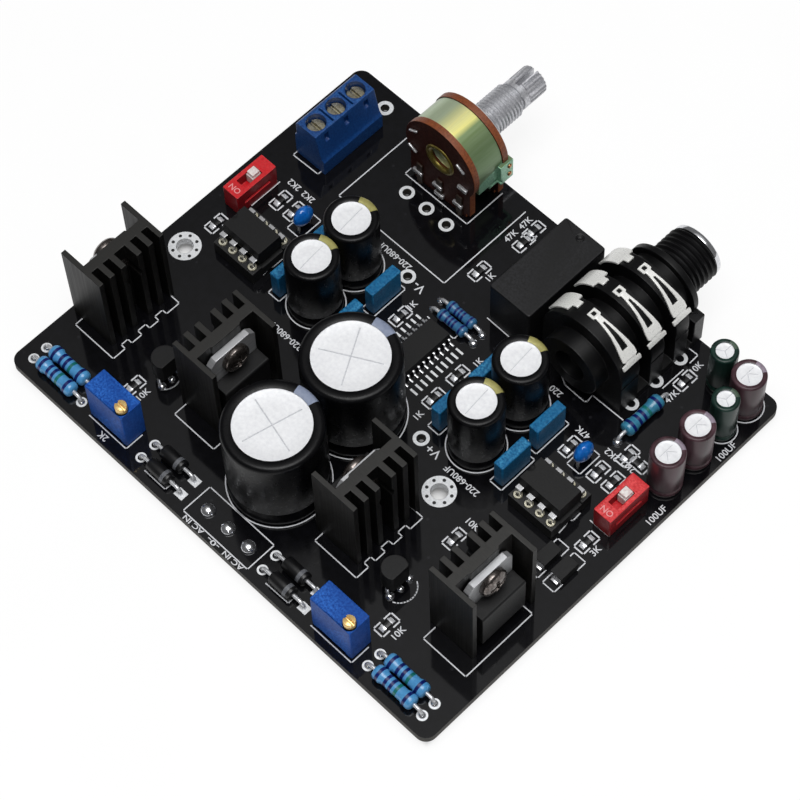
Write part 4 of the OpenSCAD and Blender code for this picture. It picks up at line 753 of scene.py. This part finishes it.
pot = {"x": 31.0, "z": 12.0, "canR": 8.4, "strapGap": 0.03, "plateY": 86.3, "bushingY": 87.3, "bushingL": 8.4,
       "shaftEnd": 102.4, "threadPitch": 0.75, "crest": 3.45, "root": 3.22, "bore": 3.06,
       "splines": 20, "flute": 0.925, "shaftR": 3.0, "tailL": 16.0, "neckL": 2.2, "slotW": 1.0, "slotL": 5.0,
       "rearY": 77.6, "swages": [(25.6, 3.0, 0), (30.6, 3.5, 0), (35.7, 2.9, 0), (36.9, 9.1, 0), (31.0, 1.2, 0)],
       "lugs": [(24.7, 15.1, 32), (24.4, 9.4, -28), (36.4, 14.9, -33)],
       "swageSize": (2.3, 0.7, 0.9), "lugSize": (2.3, 0.5, 0.5), "lugRound": 0.2, "lugOut": 0.3,
       "earX": 9.26, "earRivets": [(85.9, -1.2), (85.9, -3.6)], "earR": 0.5, "earRise": 0.3}


def threadedSleeve(name, length, crest, root, bore, pitch, steps=40, land=0.18, flank=0.24):
    clearPick()
    middle = (root + crest) / 2
    bpy.ops.mesh.primitive_plane_add(size=pitch, location=(middle, 0, pitch / 2), rotation=(math.pi / 2, 0, 0))
    obj = bpy.context.object
    bpy.ops.object.transform_apply(location=True, rotation=True)
    startEdit(obj, "VERT")
    selectAll()
    bpy.ops.mesh.delete(type="ONLY_FACE")
    choose(obj, "VERT", lambda i, v: v.co.x > middle)  # the square's inner edge stays, to become the thread
    bpy.ops.mesh.delete(type="VERT")
    selectAll()
    bpy.ops.mesh.subdivide(number_cuts=7)
    leaveEdit()
    for v in obj.data.vertices:
        share = v.co.z / pitch
        rise = min(1, max(0, (min(share, 1 - share) - land) / flank))
        v.co.x = root + (crest - root) * rise
    pick(obj)
    coil = obj.modifiers.new("coil", "SCREW")
    coil.axis = "Z"
    coil.angle = 2 * math.pi
    coil.screw_offset = pitch
    coil.iterations = round(length / pitch) + 1
    coil.steps = coil.render_steps = steps
    coil.use_merge_vertices = True
    coil.merge_threshold = weldGap
    bpy.ops.object.modifier_apply(modifier=coil.name)
    startEdit(obj)
    selectAll()
    bpy.ops.mesh.remove_doubles(threshold=weldGap)
    for height, facing in ((pitch, -1), (pitch + length, 1)):
        selectAll()
        bpy.ops.mesh.bisect(plane_co=(0, 0, height), plane_no=(0, 0, facing), clear_outer=True)
    selectAll()
    bpy.ops.transform.translate(value=(0, 0, -pitch))
    bpy.ops.mesh.normals_make_consistent(inside=False)
    leaveEdit()
    core = turned(name + "Core", [(bore, 0.4), (bore, 0.0), (root - 0.02, 0.0), (root + 0.02, 0.02),
                                  (root + 0.02, length - 0.3), (root - 0.05, length), (bore + 0.1, length),
                                  (bore, length - 0.1), (bore, 0.42)], 48)
    return smooth(joined([obj, dropLids(core)], name), 50)


def alongY(obj, name, x, y, z):
    return setDown(obj, name, spot(x, y, z), (-90, 0, 0))


sleeve = threadedSleeve("bushingThread", pot["bushingL"], pot["crest"], pot["root"], pot["bore"], pot["threadPitch"])
sleeve = alongY(sleeve, "bushingThread", pot["x"], pot["bushingY"], pot["z"])
plate = turned("bushingPlate", [(pot["bore"], 1.0), (pot["bore"], 0.0), (6.7, 0.0), (6.85, 0.12), (6.85, 0.8),
                                (6.65, 1.0), (4.3, 1.0), (4.1, 1.25), (pot["bore"], 1.25)], 64)
plate = alongY(plate, "bushingPlate", pot["x"], pot["plateY"], pot["z"])
bushing = paint(joined([sleeve, plate], "volumeBushingShown"), [castMetal])
fitOn(smooth(bushing, 40), "board", ["volume_bushing"])


def knurledShaft(chamfer=0.9):
    free = pot["shaftEnd"] - pot["bushingY"] - pot["bushingL"]
    r, neck, tail, slotW, slotL = pot["shaftR"], pot["neckL"], pot["tailL"], pot["slotW"], pot["slotL"]
    journal = turned("journal", [(0.5, -tail), (r - 0.1, -tail), (r, 0.1 - tail), (r, 0.0), (2.7, 0.02), (2.7, 0.8),
                                 (2.9, 0.82), (r, 0.95), (r, neck), (2.5, neck + 0.02), (0.5, neck + 0.02)], 48)
    clearPick()
    bpy.ops.mesh.primitive_circle_add(vertices=pot["splines"] * 4, radius=r, fill_type="NGON", location=(0, 0, 0))
    end = bpy.context.object
    choose(end, "VERT", lambda i, v: i % 4 in (0, 1))  # two corners of every four sink to a flute
    bpy.ops.transform.resize(value=(pot["flute"], pot["flute"], 1), center_override=(0, 0, 0))
    bpy.ops.mesh.select_mode(type="FACE")
    selectAll()
    bpy.ops.transform.translate(value=(0, 0, neck))
    bpy.ops.transform.resize(value=(chamfer, chamfer, 1), center_override=(0, 0, neck))
    for factor, rise in ((1 / chamfer, 0.25), (1.0, free - neck - 0.65), (0.95, 0.25), (chamfer, 0.15)):
        bpy.ops.mesh.extrude_region_move(TRANSFORM_OT_translate={"value": (0, 0, rise)})
        bpy.ops.transform.resize(value=(factor, factor, 1), center_override=(0, 0, 0))
    leaveEdit()
    cleanShell(end)
    cutWith(end, bar((slotW, 8, slotL), (0, 0, free - slotL / 2 + 0.01)))
    cutWith(journal, bar((slotW, 8, 8), (0, 0, free - slotL + 4)))
    return smooth(joined([end, journal], "volumeShaftShown"), 30)


shaft = alongY(knurledShaft(), "volumeShaftShown", pot["x"], pot["bushingY"] + pot["bushingL"], pot["z"])
fitOn(paint(shaft, [castMetal]), "volume_shaft", ["volume_shaft"])


def isStrap(c, n):  # what stands outside the drum
    x, y, z = onBoard(c)
    return math.hypot(x - pot["x"], z - pot["z"]) > pot["canR"] + pot["strapGap"]


dress("volume_can", 0.1, [zincDrum, mintTab], isStrap)
for node in ("volume_front_wafer", "volume_rear_wafer"):
    dress(node, 0.12, [laminateFace, laminateEdge], lambda c, n: abs(n.y) <= 0.8)

clenched = []
for i, (x, z, turn) in enumerate(pot["lugs"] + pot["swages"]):  # tabs bent over the wafer, then terminal heads
    lug = bar(pot["lugSize"] if turn else pot["swageSize"])
    roundEdges(lug, pot["lugRound"], 3)
    clenched.append(setDown(smooth(lug, 40), f"lug{i}", spot(x, pot["rearY"] - pot["lugOut"], z), (0, -turn, 0)))
waferMetal = paint(joined(clenched, "waferRivets"), [legTin])
r, rise = pot["earR"], pot["earRise"]
first = turned("earRivet", [(r, -0.2), (r, 0.05), (r * 0.94, rise * 0.45), (r * 0.72, rise * 0.85), (r * 0.4, rise),
                            (0.06, rise)], 20)
ears = spread(smooth(first, 60), "ear", [(spot(pot["x"] + side * pot["earX"], y, pot["z"] + z), (0, 90 * side, 0))
                                         for side in (-1, 1) for y, z in pot["earRivets"]])
earMetal = paint(joined(ears, "earRivets"), [rivetBrass])
eyelet = turned("eyelet", [(2.3, -0.5), (3.45, -0.5), (3.5, 0.0), (3.35, 0.16), (2.95, 0.2), (2.55, 0.05),
                           (2.3, -0.2), (2.3, -0.48)], 48)
eyelet = setDown(smooth(dropLids(eyelet), 60), "eyelet", spot(pot["x"], pot["rearY"], pot["z"]), (90, 0, 0))
paint(eyelet, [eyeletBrass])
fitOn(joined([waferMetal, earMetal, eyelet], "volumeRivetsShown"), "board")
print("volume control built")

# headphone socket: ribbed housing, threaded nose, sprung strips

jack = {"x": 75.5, "z": 9.5, "frontY": 88.6, "seam": 0.2, "noseL": 7.2, "crest": 5.5, "root": 4.98, "bore": 3.25,
        "pitch": 1.1}
housing = softCopy("jack_housing", 0.16)
startEdit(housing)
selectAll()
cutAt = spot(jack["x"], jack["frontY"] + jack["seam"], jack["z"])
bpy.ops.mesh.bisect(plane_co=cutAt, plane_no=(0, 1, 0), clear_outer=True)
leaveEdit()
paint(housing, [jackBlack])
nose = threadedSleeve("jackNose", jack["noseL"], jack["crest"], jack["root"], jack["bore"], jack["pitch"], 56)
nose = paint(alongY(nose, "jackNose", jack["x"], jack["frontY"], jack["z"]), [jackBlack])
fitOn(joined([housing, nose], "jackHousingShown"), "board", ["jack_housing"])
dress("jack_springs", 0.07, [springTin])
print("headphone socket built")

# plated pads and rings on the board's top

pads = {"lift": 0.025, "viaLift": 0.035,
        "rings": [(26, 74, 1.45, 0.85), (31, 74, 1.45, 0.85), (36, 74, 1.45, 0.85), (38.7, 61.4, 1.5, 0.88),
                  (63.6, 39.7, 1.5, 0.88), (9.9, 84.4, 1.6, 0.85), (5.2, 37.9, 3.05, 1.6), (73.1, 34.5, 3.05, 1.6),
                  (85.0, 70.1, 1.35, 0.7), (85.0, 76.4, 1.35, 0.7), (85.0, 82.7, 1.35, 0.7)],
        "vias": [(5.2, 37.9), (73.1, 34.5)], "viaCount": 8, "viaReach": 2.32, "viaR": 0.32,
        "bars": [(56.2, 1.7), (46.0, 1.2)], "barW": 0.42, "barCount": 10, "barMidY": 51.05, "barPitch": 1.27,
        "domes": [(47.3, 4.2, 1.42), (52.3, 4.2, 1.42), (57.3, 4.2, 1.42), (81.0, 14.6, 0.85), (81.3, 16.8, 0.7),
                  (81.0, 19.2, 0.85), (23.6, 15.3, 0.8), (23.8, 17.4, 0.7), (23.6, 19.5, 0.8), (88.4, 62.85, 0.95),
                  (46.6, 61.9, 0.8), (56.8, 61.9, 0.8), (46.6, 59.6, 0.6), (56.8, 59.6, 0.9)], "domeH": 0.8,
        "axialHalf": 6.35, "diodeHalf": 5.08, "axialRing": (1.0, 0.62), "axialDome": 0.66, "squarePad": (2.0, 1.7),
        "barrelR": 1.6, "barrelWall": 0.04, "barrelTop": 0.02}


def flatPlates(name, build, lift):  # flat shapes drawn by build(), raised into thin plates
    clearPick()
    bpy.ops.mesh.primitive_plane_add(size=0.001, location=(0, 0, 0))
    obj = bpy.context.object
    startEdit(obj)
    selectAll()
    bpy.ops.mesh.delete(type="VERT")
    build()
    selectAll()
    bpy.ops.mesh.extrude_region_move(TRANSFORM_OT_translate={"value": (0, 0, lift)})
    selectAll()
    bpy.ops.mesh.normals_make_consistent(inside=False)
    leaveEdit()
    return setDown(obj, name, spot(0, 0))


def flatRing(x, y, outer, inner, steps=40):
    bpy.ops.mesh.primitive_circle_add(vertices=steps, radius=outer, fill_type="NGON", location=(x, y, 0))
    bpy.ops.mesh.inset(thickness=(outer - inner) * math.cos(math.pi / steps))
    bpy.ops.mesh.delete(type="FACE")


def flatBar(x, y, l, w, turn=0.0):
    angle, middle = math.radians(turn), (x, y, 0)
    bpy.ops.mesh.primitive_plane_add(size=1, location=middle, rotation=(0, 0, angle))
    bpy.ops.transform.rotate(value=angle, orient_axis="Z", center_override=middle)
    bpy.ops.transform.resize(value=(l, w, 1), center_override=middle)
    bpy.ops.transform.rotate(value=-angle, orient_axis="Z", center_override=middle)


def stroke(points, w):
    for (x0, y0), (x1, y1) in zip(points, points[1:]):
        length, turn = math.hypot(x1 - x0, y1 - y0) + w, math.degrees(math.atan2(y1 - y0, x1 - x0))
        flatBar((x0 + x1) / 2, (y0 + y1) / 2, length, w, turn)


def buildPads():
    for x, y, outer, inner in pads["rings"]:
        flatRing(x, y, outer, inner)
    for x, y, turn in resistorPlaces["large"]:
        for side in (-1, 1):
            flatRing(x + side * pads["axialHalf"], y, *pads["axialRing"])
    for x, y in diode["places"]:  # round at the plain end, square at the banded end
        flatRing(x - pads["diodeHalf"], y, *pads["axialRing"])
        flatBar(x + pads["diodeHalf"], y, *pads["squarePad"])
    for x, l in pads["bars"]:
        for i in range(pads["barCount"]):
            flatBar(x, pads["barMidY"] + (i - (pads["barCount"] - 1) / 2) * pads["barPitch"], l, pads["barW"])


def buildVias():
    for x, y in pads["vias"]:
        for i in range(pads["viaCount"]):
            turn = math.radians(360 / pads["viaCount"] * (i + 0.5))
            place = (x + pads["viaReach"] * math.cos(turn), y + pads["viaReach"] * math.sin(turn), 0)
            bpy.ops.mesh.primitive_circle_add(vertices=16, radius=pads["viaR"], fill_type="NGON", location=place)


padPlates = paint(flatPlates("padPlates", buildPads, pads["lift"]), [padTin])
# the vias are flat black discs: painted shade where their holes would be dark
viaDots = paint(flatPlates("viaDots", buildVias, pads["viaLift"]), [viaHoleShade])
metal = [padPlates, viaDots]
outer, inner, top = pads["barrelR"], pads["barrelR"] - pads["barrelWall"], pads["barrelTop"]
for i, (x, y) in enumerate(pads["vias"]):  # plated wall of each mounting hole
    wall = turned(f"barrel{i}", [(outer, top), (outer, -board["thick"]), (inner, -board["thick"]), (inner, top)], 40)
    metal.append(paint(setDown(smooth(dropLids(wall), 40), f"barrel{i}", spot(x, y)), [padTin]))
h = pads["domeH"]
first = turned("supplySolder", [(1.0, 0.0), (0.98, h * 0.25), (0.86, h * 0.55), (0.6, h * 0.82), (0.3, h * 0.97),
                                (0.08, h)], 32)
paint(smooth(first, 60), [solderShine])
domes = list(pads["domes"])
for x, y, turn in resistorPlaces["large"]:
    domes += [(x + side * pads["axialHalf"], y, pads["axialDome"]) for side in (-1, 1)]
metal += spread(first, "dome", [(spot(x, y), (0, 0, 0), 0.001 * wide) for x, y, wide in domes])
fitOn(joined(metal, "padsShown"), "board")

left, notch, right, combShift = 3.2, 12.2, 13.3, 61.3  # the comb round a heatsink, and the way to its twin
comb = [(left, 13), (right, 13), (right, 15.9), (notch, 15.9), (notch, 17.5), (right, 17.5), (right, 19.9),
        (notch, 19.9), (notch, 21.8), (right, 21.8), (right, 24), (notch, 24), (notch, 25.9), (right, 25.9),
        (right, 29), (left, 29), (left, 13)]
silk = {"w": 0.22, "lift": 0.03,
        "lines": [
            [(44.2, 1.2), (60.2, 1.2), (60.2, 7.55), (44.2, 7.55), (44.2, 1.2)],
            [(5.1, 66.2), (5.1, 65.3), (11.4, 65.5), (11.45, 66.75)],
            [(7.6, 52.4), (7.6, 59.4)],
            [(17.5, 85.9), (17.5, 64.9), (44.4, 64.9), (44.4, 85.9)],
            [(38.6, 85.9), (38.6, 76.7), (22.8, 76.7), (22.8, 85.7)],
            [(55, 65.1), (60.4, 65)],
            [(15.7, 53.5), (19.1, 53.5), (19.1, 58.8), (15.7, 58.8), (15.7, 53.5)],
            [(85, 53.7), (88.05, 53.7), (88.05, 58.85), (85, 58.85), (85, 53.7)],
            comb, [(x + combShift, y) for x, y in comb],
            [(29.3, 13), (39.3, 13), (39.3, 29), (29.3, 29), (29.3, 13)],
            [(90.5, 15.8), (90.5, 13), (100.4, 13), (100.4, 29), (90.5, 29), (90.5, 26)],
            [(18.8, 2.4), (28.3, 2.4), (28.3, 6.2)],
            [(75.4, 1.5), (85.1, 1.5), (85.1, 5.4)],
            [(72.6, 65.6), (74.2, 64.8), (78.8, 64.7), (79.2, 65.1), (79.0, 66.6), (86.1, 66.7)],
            [(84.1, 85.3), (86.75, 85.4), (86.8, 83.3)], [(86.9, 81.4), (86.8, 76.2)],
            [(93.2, 43.2), (93.0, 45.0), (92.7, 46.0), (93.3, 46.5), (93.2, 48.3)],
            [(19.8, 42.8), (19.8, 44.2), (19.5, 45.3), (19.9, 46.1), (19.9, 48.2)],
            [(95.4, 48.5), (99.7, 48.5), (99.6, 50.1)], [(64.4, 1.6), (69.7, 1.7), (69.6, 3.7)],
            [(33.8, 1.8), (39.0, 1.8), (39.0, 3.8)], [(47.2, 57.9), (53.7, 57.9), (53.7, 61.0)],
        ],
        "boxes": [(38.9, 55.1), (39.1, 45.6), (24.5, 45.8), (24, 55.4), (64.2, 55.3), (64, 46.4), (78.6, 55.5),
                  (79.2, 46.2)], "boxHalf": (1.4, 4.15),
        "rings": [(51.7, 35.3, 9.4), (51.7, 16.9, 9.4), (30.3, 56.3, 5.5), (30.9, 46, 5.5), (71.1, 56.5, 5.5),
                  (71.4, 45.4, 5.5), (99.2, 83.5, 3.6), (99.5, 77.2, 2.95)],
        "arcs": [(80.9, 17.0, 3.1, -65, 60), (22.6, 17.0, 2.6, -45, 40)], "arcSteps": 12,
        "diodeOutlines": [(95.1, 38.3), (98.9, 38.3)], "diodeHalf": 1.35, "diodeEnds": (1.9, 3.9),
        "bracketW": 0.28, "bracketEnds": (0.55, 2.1), "bracketHalf": 1.12}


def buildSilk():
    w = silk["w"]
    for points in silk["lines"]:
        stroke(points, w)
    a, b = silk["boxHalf"]
    for x, y in silk["boxes"]:
        stroke([(x - a, y - b), (x + a, y - b), (x + a, y + b), (x - a, y + b), (x - a, y - b)], w)
    for x, y, radius in silk["rings"]:
        flatRing(x, y, radius, radius - w, 72)
    for x, y, radius, start, end in silk["arcs"]:
        steps = silk["arcSteps"]
        turns = radians(start + (end - start) * i / steps for i in range(steps + 1))
        stroke([(x + radius * math.cos(a), y + radius * math.sin(a)) for a in turns], w)
    a, (low, high) = silk["diodeHalf"], silk["diodeEnds"]
    for x, y in silk["diodeOutlines"]:
        for side in (-1, 1):
            near, far = y + side * low, y + side * high
            stroke([(x - a, near), (x - a, far), (x + a, far), (x + a, near)], w)
    (low, high), wide = silk["bracketEnds"], silk["bracketHalf"]
    for x, y, turn in chip["places"]:
        c, s = math.cos(math.radians(turn)), math.sin(math.radians(turn))
        for side in (-1, 1):
            bracket = [(side * low, -wide), (side * high, -wide), (side * high, wide), (side * low, wide)]
            stroke([(x + c * a - s * b, y + s * a + c * b) for a, b in bracket], silk["bracketW"])


silkPlates = paint(flatPlates("silkLines", buildSilk, silk["lift"]), [silkWhite])

values = {"size": 1.75, "weight": 0.02, "thick": 0.012, "onSize": 1.6, "onInset": 0.0013,
          "places": [  # words, place, turn, and for some their height and stretch
    ("2K", 23.6, 1.3, 180), ("10K", 22.5, 11.7, 90), ("2K2", 10.0, 60.9, 180), ("2K2", 13.7, 60.8, 180),
    ("1K", 43.6, 57.6, 90), ("1K", 60.2, 57.4, 90), ("1K", 60.1, 42.5, 90), ("1K", 49.5, 71.5, 90),
    ("V-", 41.8, 61.2, 180, 2.5), ("V+", 66.9, 39.4, 180, 2.5), ("220-680UF", 31.9, 37.6, 180),
    ("220-680UF", 34.0, 62.9, 180), ("220-680UF", 74.4, 38.7, 180), ("220", 73.9, 62.8, 180),
    ("47K", 46.1, 80.4, 90), ("47K", 46.1, 84.2, 90), ("10K", 88.3, 83.2, 90), ("47K", 89.1, 76.0, 90),
    ("47K", 82.9, 60.1, 180), ("2K2", 89.4, 60.4, 180), ("2K2", 93.0, 60.7, 180),
    ("100UF", 103.1, 74.4, 90), ("100UF", 102.8, 57.0, 90), ("3K", 100.0, 44.9, 90),
    ("10K", 86.9, 10.7, 90), ("10K", 81.5, 33.9, 0), ("AC IN", 57.2, 0.6, 180, 1.28, 1.37),
    ("-0-", 52.4, 0.6, 180, 1.28, 1.9), ("AC IN", 47.4, 0.6, 180, 1.28, 1.37)]}


def valueText(words, place, turn, name, size, stretch=1.0):
    clearPick()
    bpy.ops.object.text_add()
    label = bpy.context.object
    label.data.body = words
    label.data.size = size
    label.data.offset = values["weight"]  # heavier strokes, as screen print has
    label.data.extrude = values["thick"]
    label.data.align_x, label.data.align_y = "CENTER", "CENTER"
    label.data.resolution_u = 3
    bpy.ops.object.convert(target="MESH")
    bpy.context.object.scale.x = stretch
    bpy.ops.object.transform_apply(location=False, rotation=False, scale=True)
    return setDown(bpy.context.object, name, place, turn)


switchWords = []
for side in ("left", "right"):
    low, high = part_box(side + "_switch_body")
    onPlace = ((low[0] + high[0]) / 2, low[1] + values["onInset"], high[2])
    switchWords.append(valueText("ON", onPlace, (0, 0, 180), side + "On", values["onSize"]))
fitOn(paint(joined(switchWords, "switchWordsShown"), [onPink]), "board")
words = [valueText(text, spot(x, y, silk["lift"]), (0, 0, turn), f"value{i}", *(size or [values["size"]]))
         for i, (text, x, y, turn, *size) in enumerate(values["places"])]
words = paint(joined(words, "valueWords"), [silkWhite])
fitOn(joined([silkPlates, words], "silkShown"), "board")
print("pads and print on:", len(values["places"]), "values")

# studio: pale floor, soft overhead light, camera at the photograph's angle

studio = {"floorZ": -0.0019, "floorSize": 3.0, "floorMiddle": (0.047, 0.006), "floorTones": (0.86, 0.9),
          "lens": 126.64, "shift": (0.06, -0.005), "clip": (0.01, 20), "sensor": 36,
          "eye": (0.225225, -0.157194, 0.432408), "tilt": (29.0116, 2.1245, 45.3936),
          "key": {"place": (0.16, -0.06, 0.75), "tilt": (0, 0, 0), "size": 0.5, "power": 4.5},
          "spark": {"place": (0.505, -0.414, 0.51), "tilt": (55, 0, 47), "size": 0.05, "power": 0.2},
          "footprint": (0.052, 0.044), "shadeEdge": (0.0025, 0.0005), "shadeShare": 0.12, "openShare": 0.82,
          "glow": 1.04, "skyBand": (0.8, 0.93), "skyLight": (0.1, 0.66)}
clearPick()
bpy.ops.mesh.primitive_plane_add(size=studio["floorSize"], location=(*studio["floorMiddle"], studio["floorZ"]))
floor = named(bpy.context.object, "floor")
s = Shader("paleFloor")
grainy = s.effect(fineGrain, Scale=40.0)
dim, pale = [(v, v, v, 1) for v in studio["floorTones"]]
s.feed("Base Color", s.blend(grainy.outputs["Mask"], dim, pale))
s.feed("Roughness", 0.9)
rays = s.node("ShaderNodeLightPath").outputs
seen = worked(s.tree, "MAXIMUM", rays["Is Camera Ray"], rays["Is Glossy Ray"])
seen = worked(s.tree, "MAXIMUM", seen, rays["Is Transmission Ray"])
place = s.split(s.coords.outputs["Object"])
sides = []
for axis, half in zip("XY", studio["footprint"]):  # the floor right under the board lies in its shade
    low, high = [half - inset for inset in studio["shadeEdge"]]
    away = worked(s.tree, "ABSOLUTE", place[axis])
    sides.append(ranged(s.tree, away, low, high, studio["shadeShare"], studio["openShare"]))
white = s.node("ShaderNodeEmission")
white.inputs["Color"].default_value = (1, 1, 1, 1)
white.inputs["Strength"].default_value = studio["glow"]
mixed = s.node("ShaderNodeMixShader")
s.link(worked(s.tree, "MULTIPLY", seen, worked(s.tree, "MAXIMUM", *sides)), mixed.inputs["Fac"])
s.link(s.bsdf.outputs["BSDF"], mixed.inputs[1])
s.link(white.outputs["Emission"], mixed.inputs[2])
s.link(mixed.outputs["Shader"], s.tree.nodes["Material Output"].inputs["Surface"])
floor.data.materials.append(s.material)

world = bpy.data.worlds.new("studioWorld")
bpy.context.scene.world = world
world.use_nodes = True
tree = world.node_tree
back = tree.nodes["Background"]
coords = tree.nodes.new("ShaderNodeTexCoord")
split = tree.nodes.new("ShaderNodeSeparateXYZ")
tree.links.new(coords.outputs["Generated"], split.inputs["Vector"])
height = ranged(tree, split.outputs["Z"], *studio["skyBand"], *studio["skyLight"])
rays = tree.nodes.new("ShaderNodeLightPath")
sky = tree.nodes.new("ShaderNodeMix")
sky.data_type = "FLOAT"
tree.links.new(rays.outputs["Is Camera Ray"], sky.inputs["Factor"])
tree.links.new(height, sky.inputs[2])
sky.inputs[3].default_value = 1.0
tree.links.new(sky.outputs[0], back.inputs["Strength"])
back.inputs["Color"].default_value = (1, 1, 1, 1)


def areaLamp(name, lamp):
    clearPick()
    bpy.ops.object.light_add(type="AREA", location=lamp["place"], rotation=radians(lamp["tilt"]))
    made = bpy.context.object
    made.name = name
    made.data.shape = "SQUARE"
    made.data.size = lamp["size"]
    made.data.energy = lamp["power"]


areaLamp("overheadPanel", studio["key"])
areaLamp("smallSpark", studio["spark"])  # gives the rims and solder their points of light

bpy.ops.object.camera_add(location=studio["eye"], rotation=radians(studio["tilt"]))
camera = bpy.context.object
camera.data.sensor_width = studio["sensor"]
camera.data.lens = studio["lens"]
camera.data.shift_x, camera.data.shift_y = studio["shift"]
camera.data.clip_start, camera.data.clip_end = studio["clip"]
bpy.context.scene.camera = camera
bpy.context.scene.view_settings.view_transform = "Standard"
print("studio set")
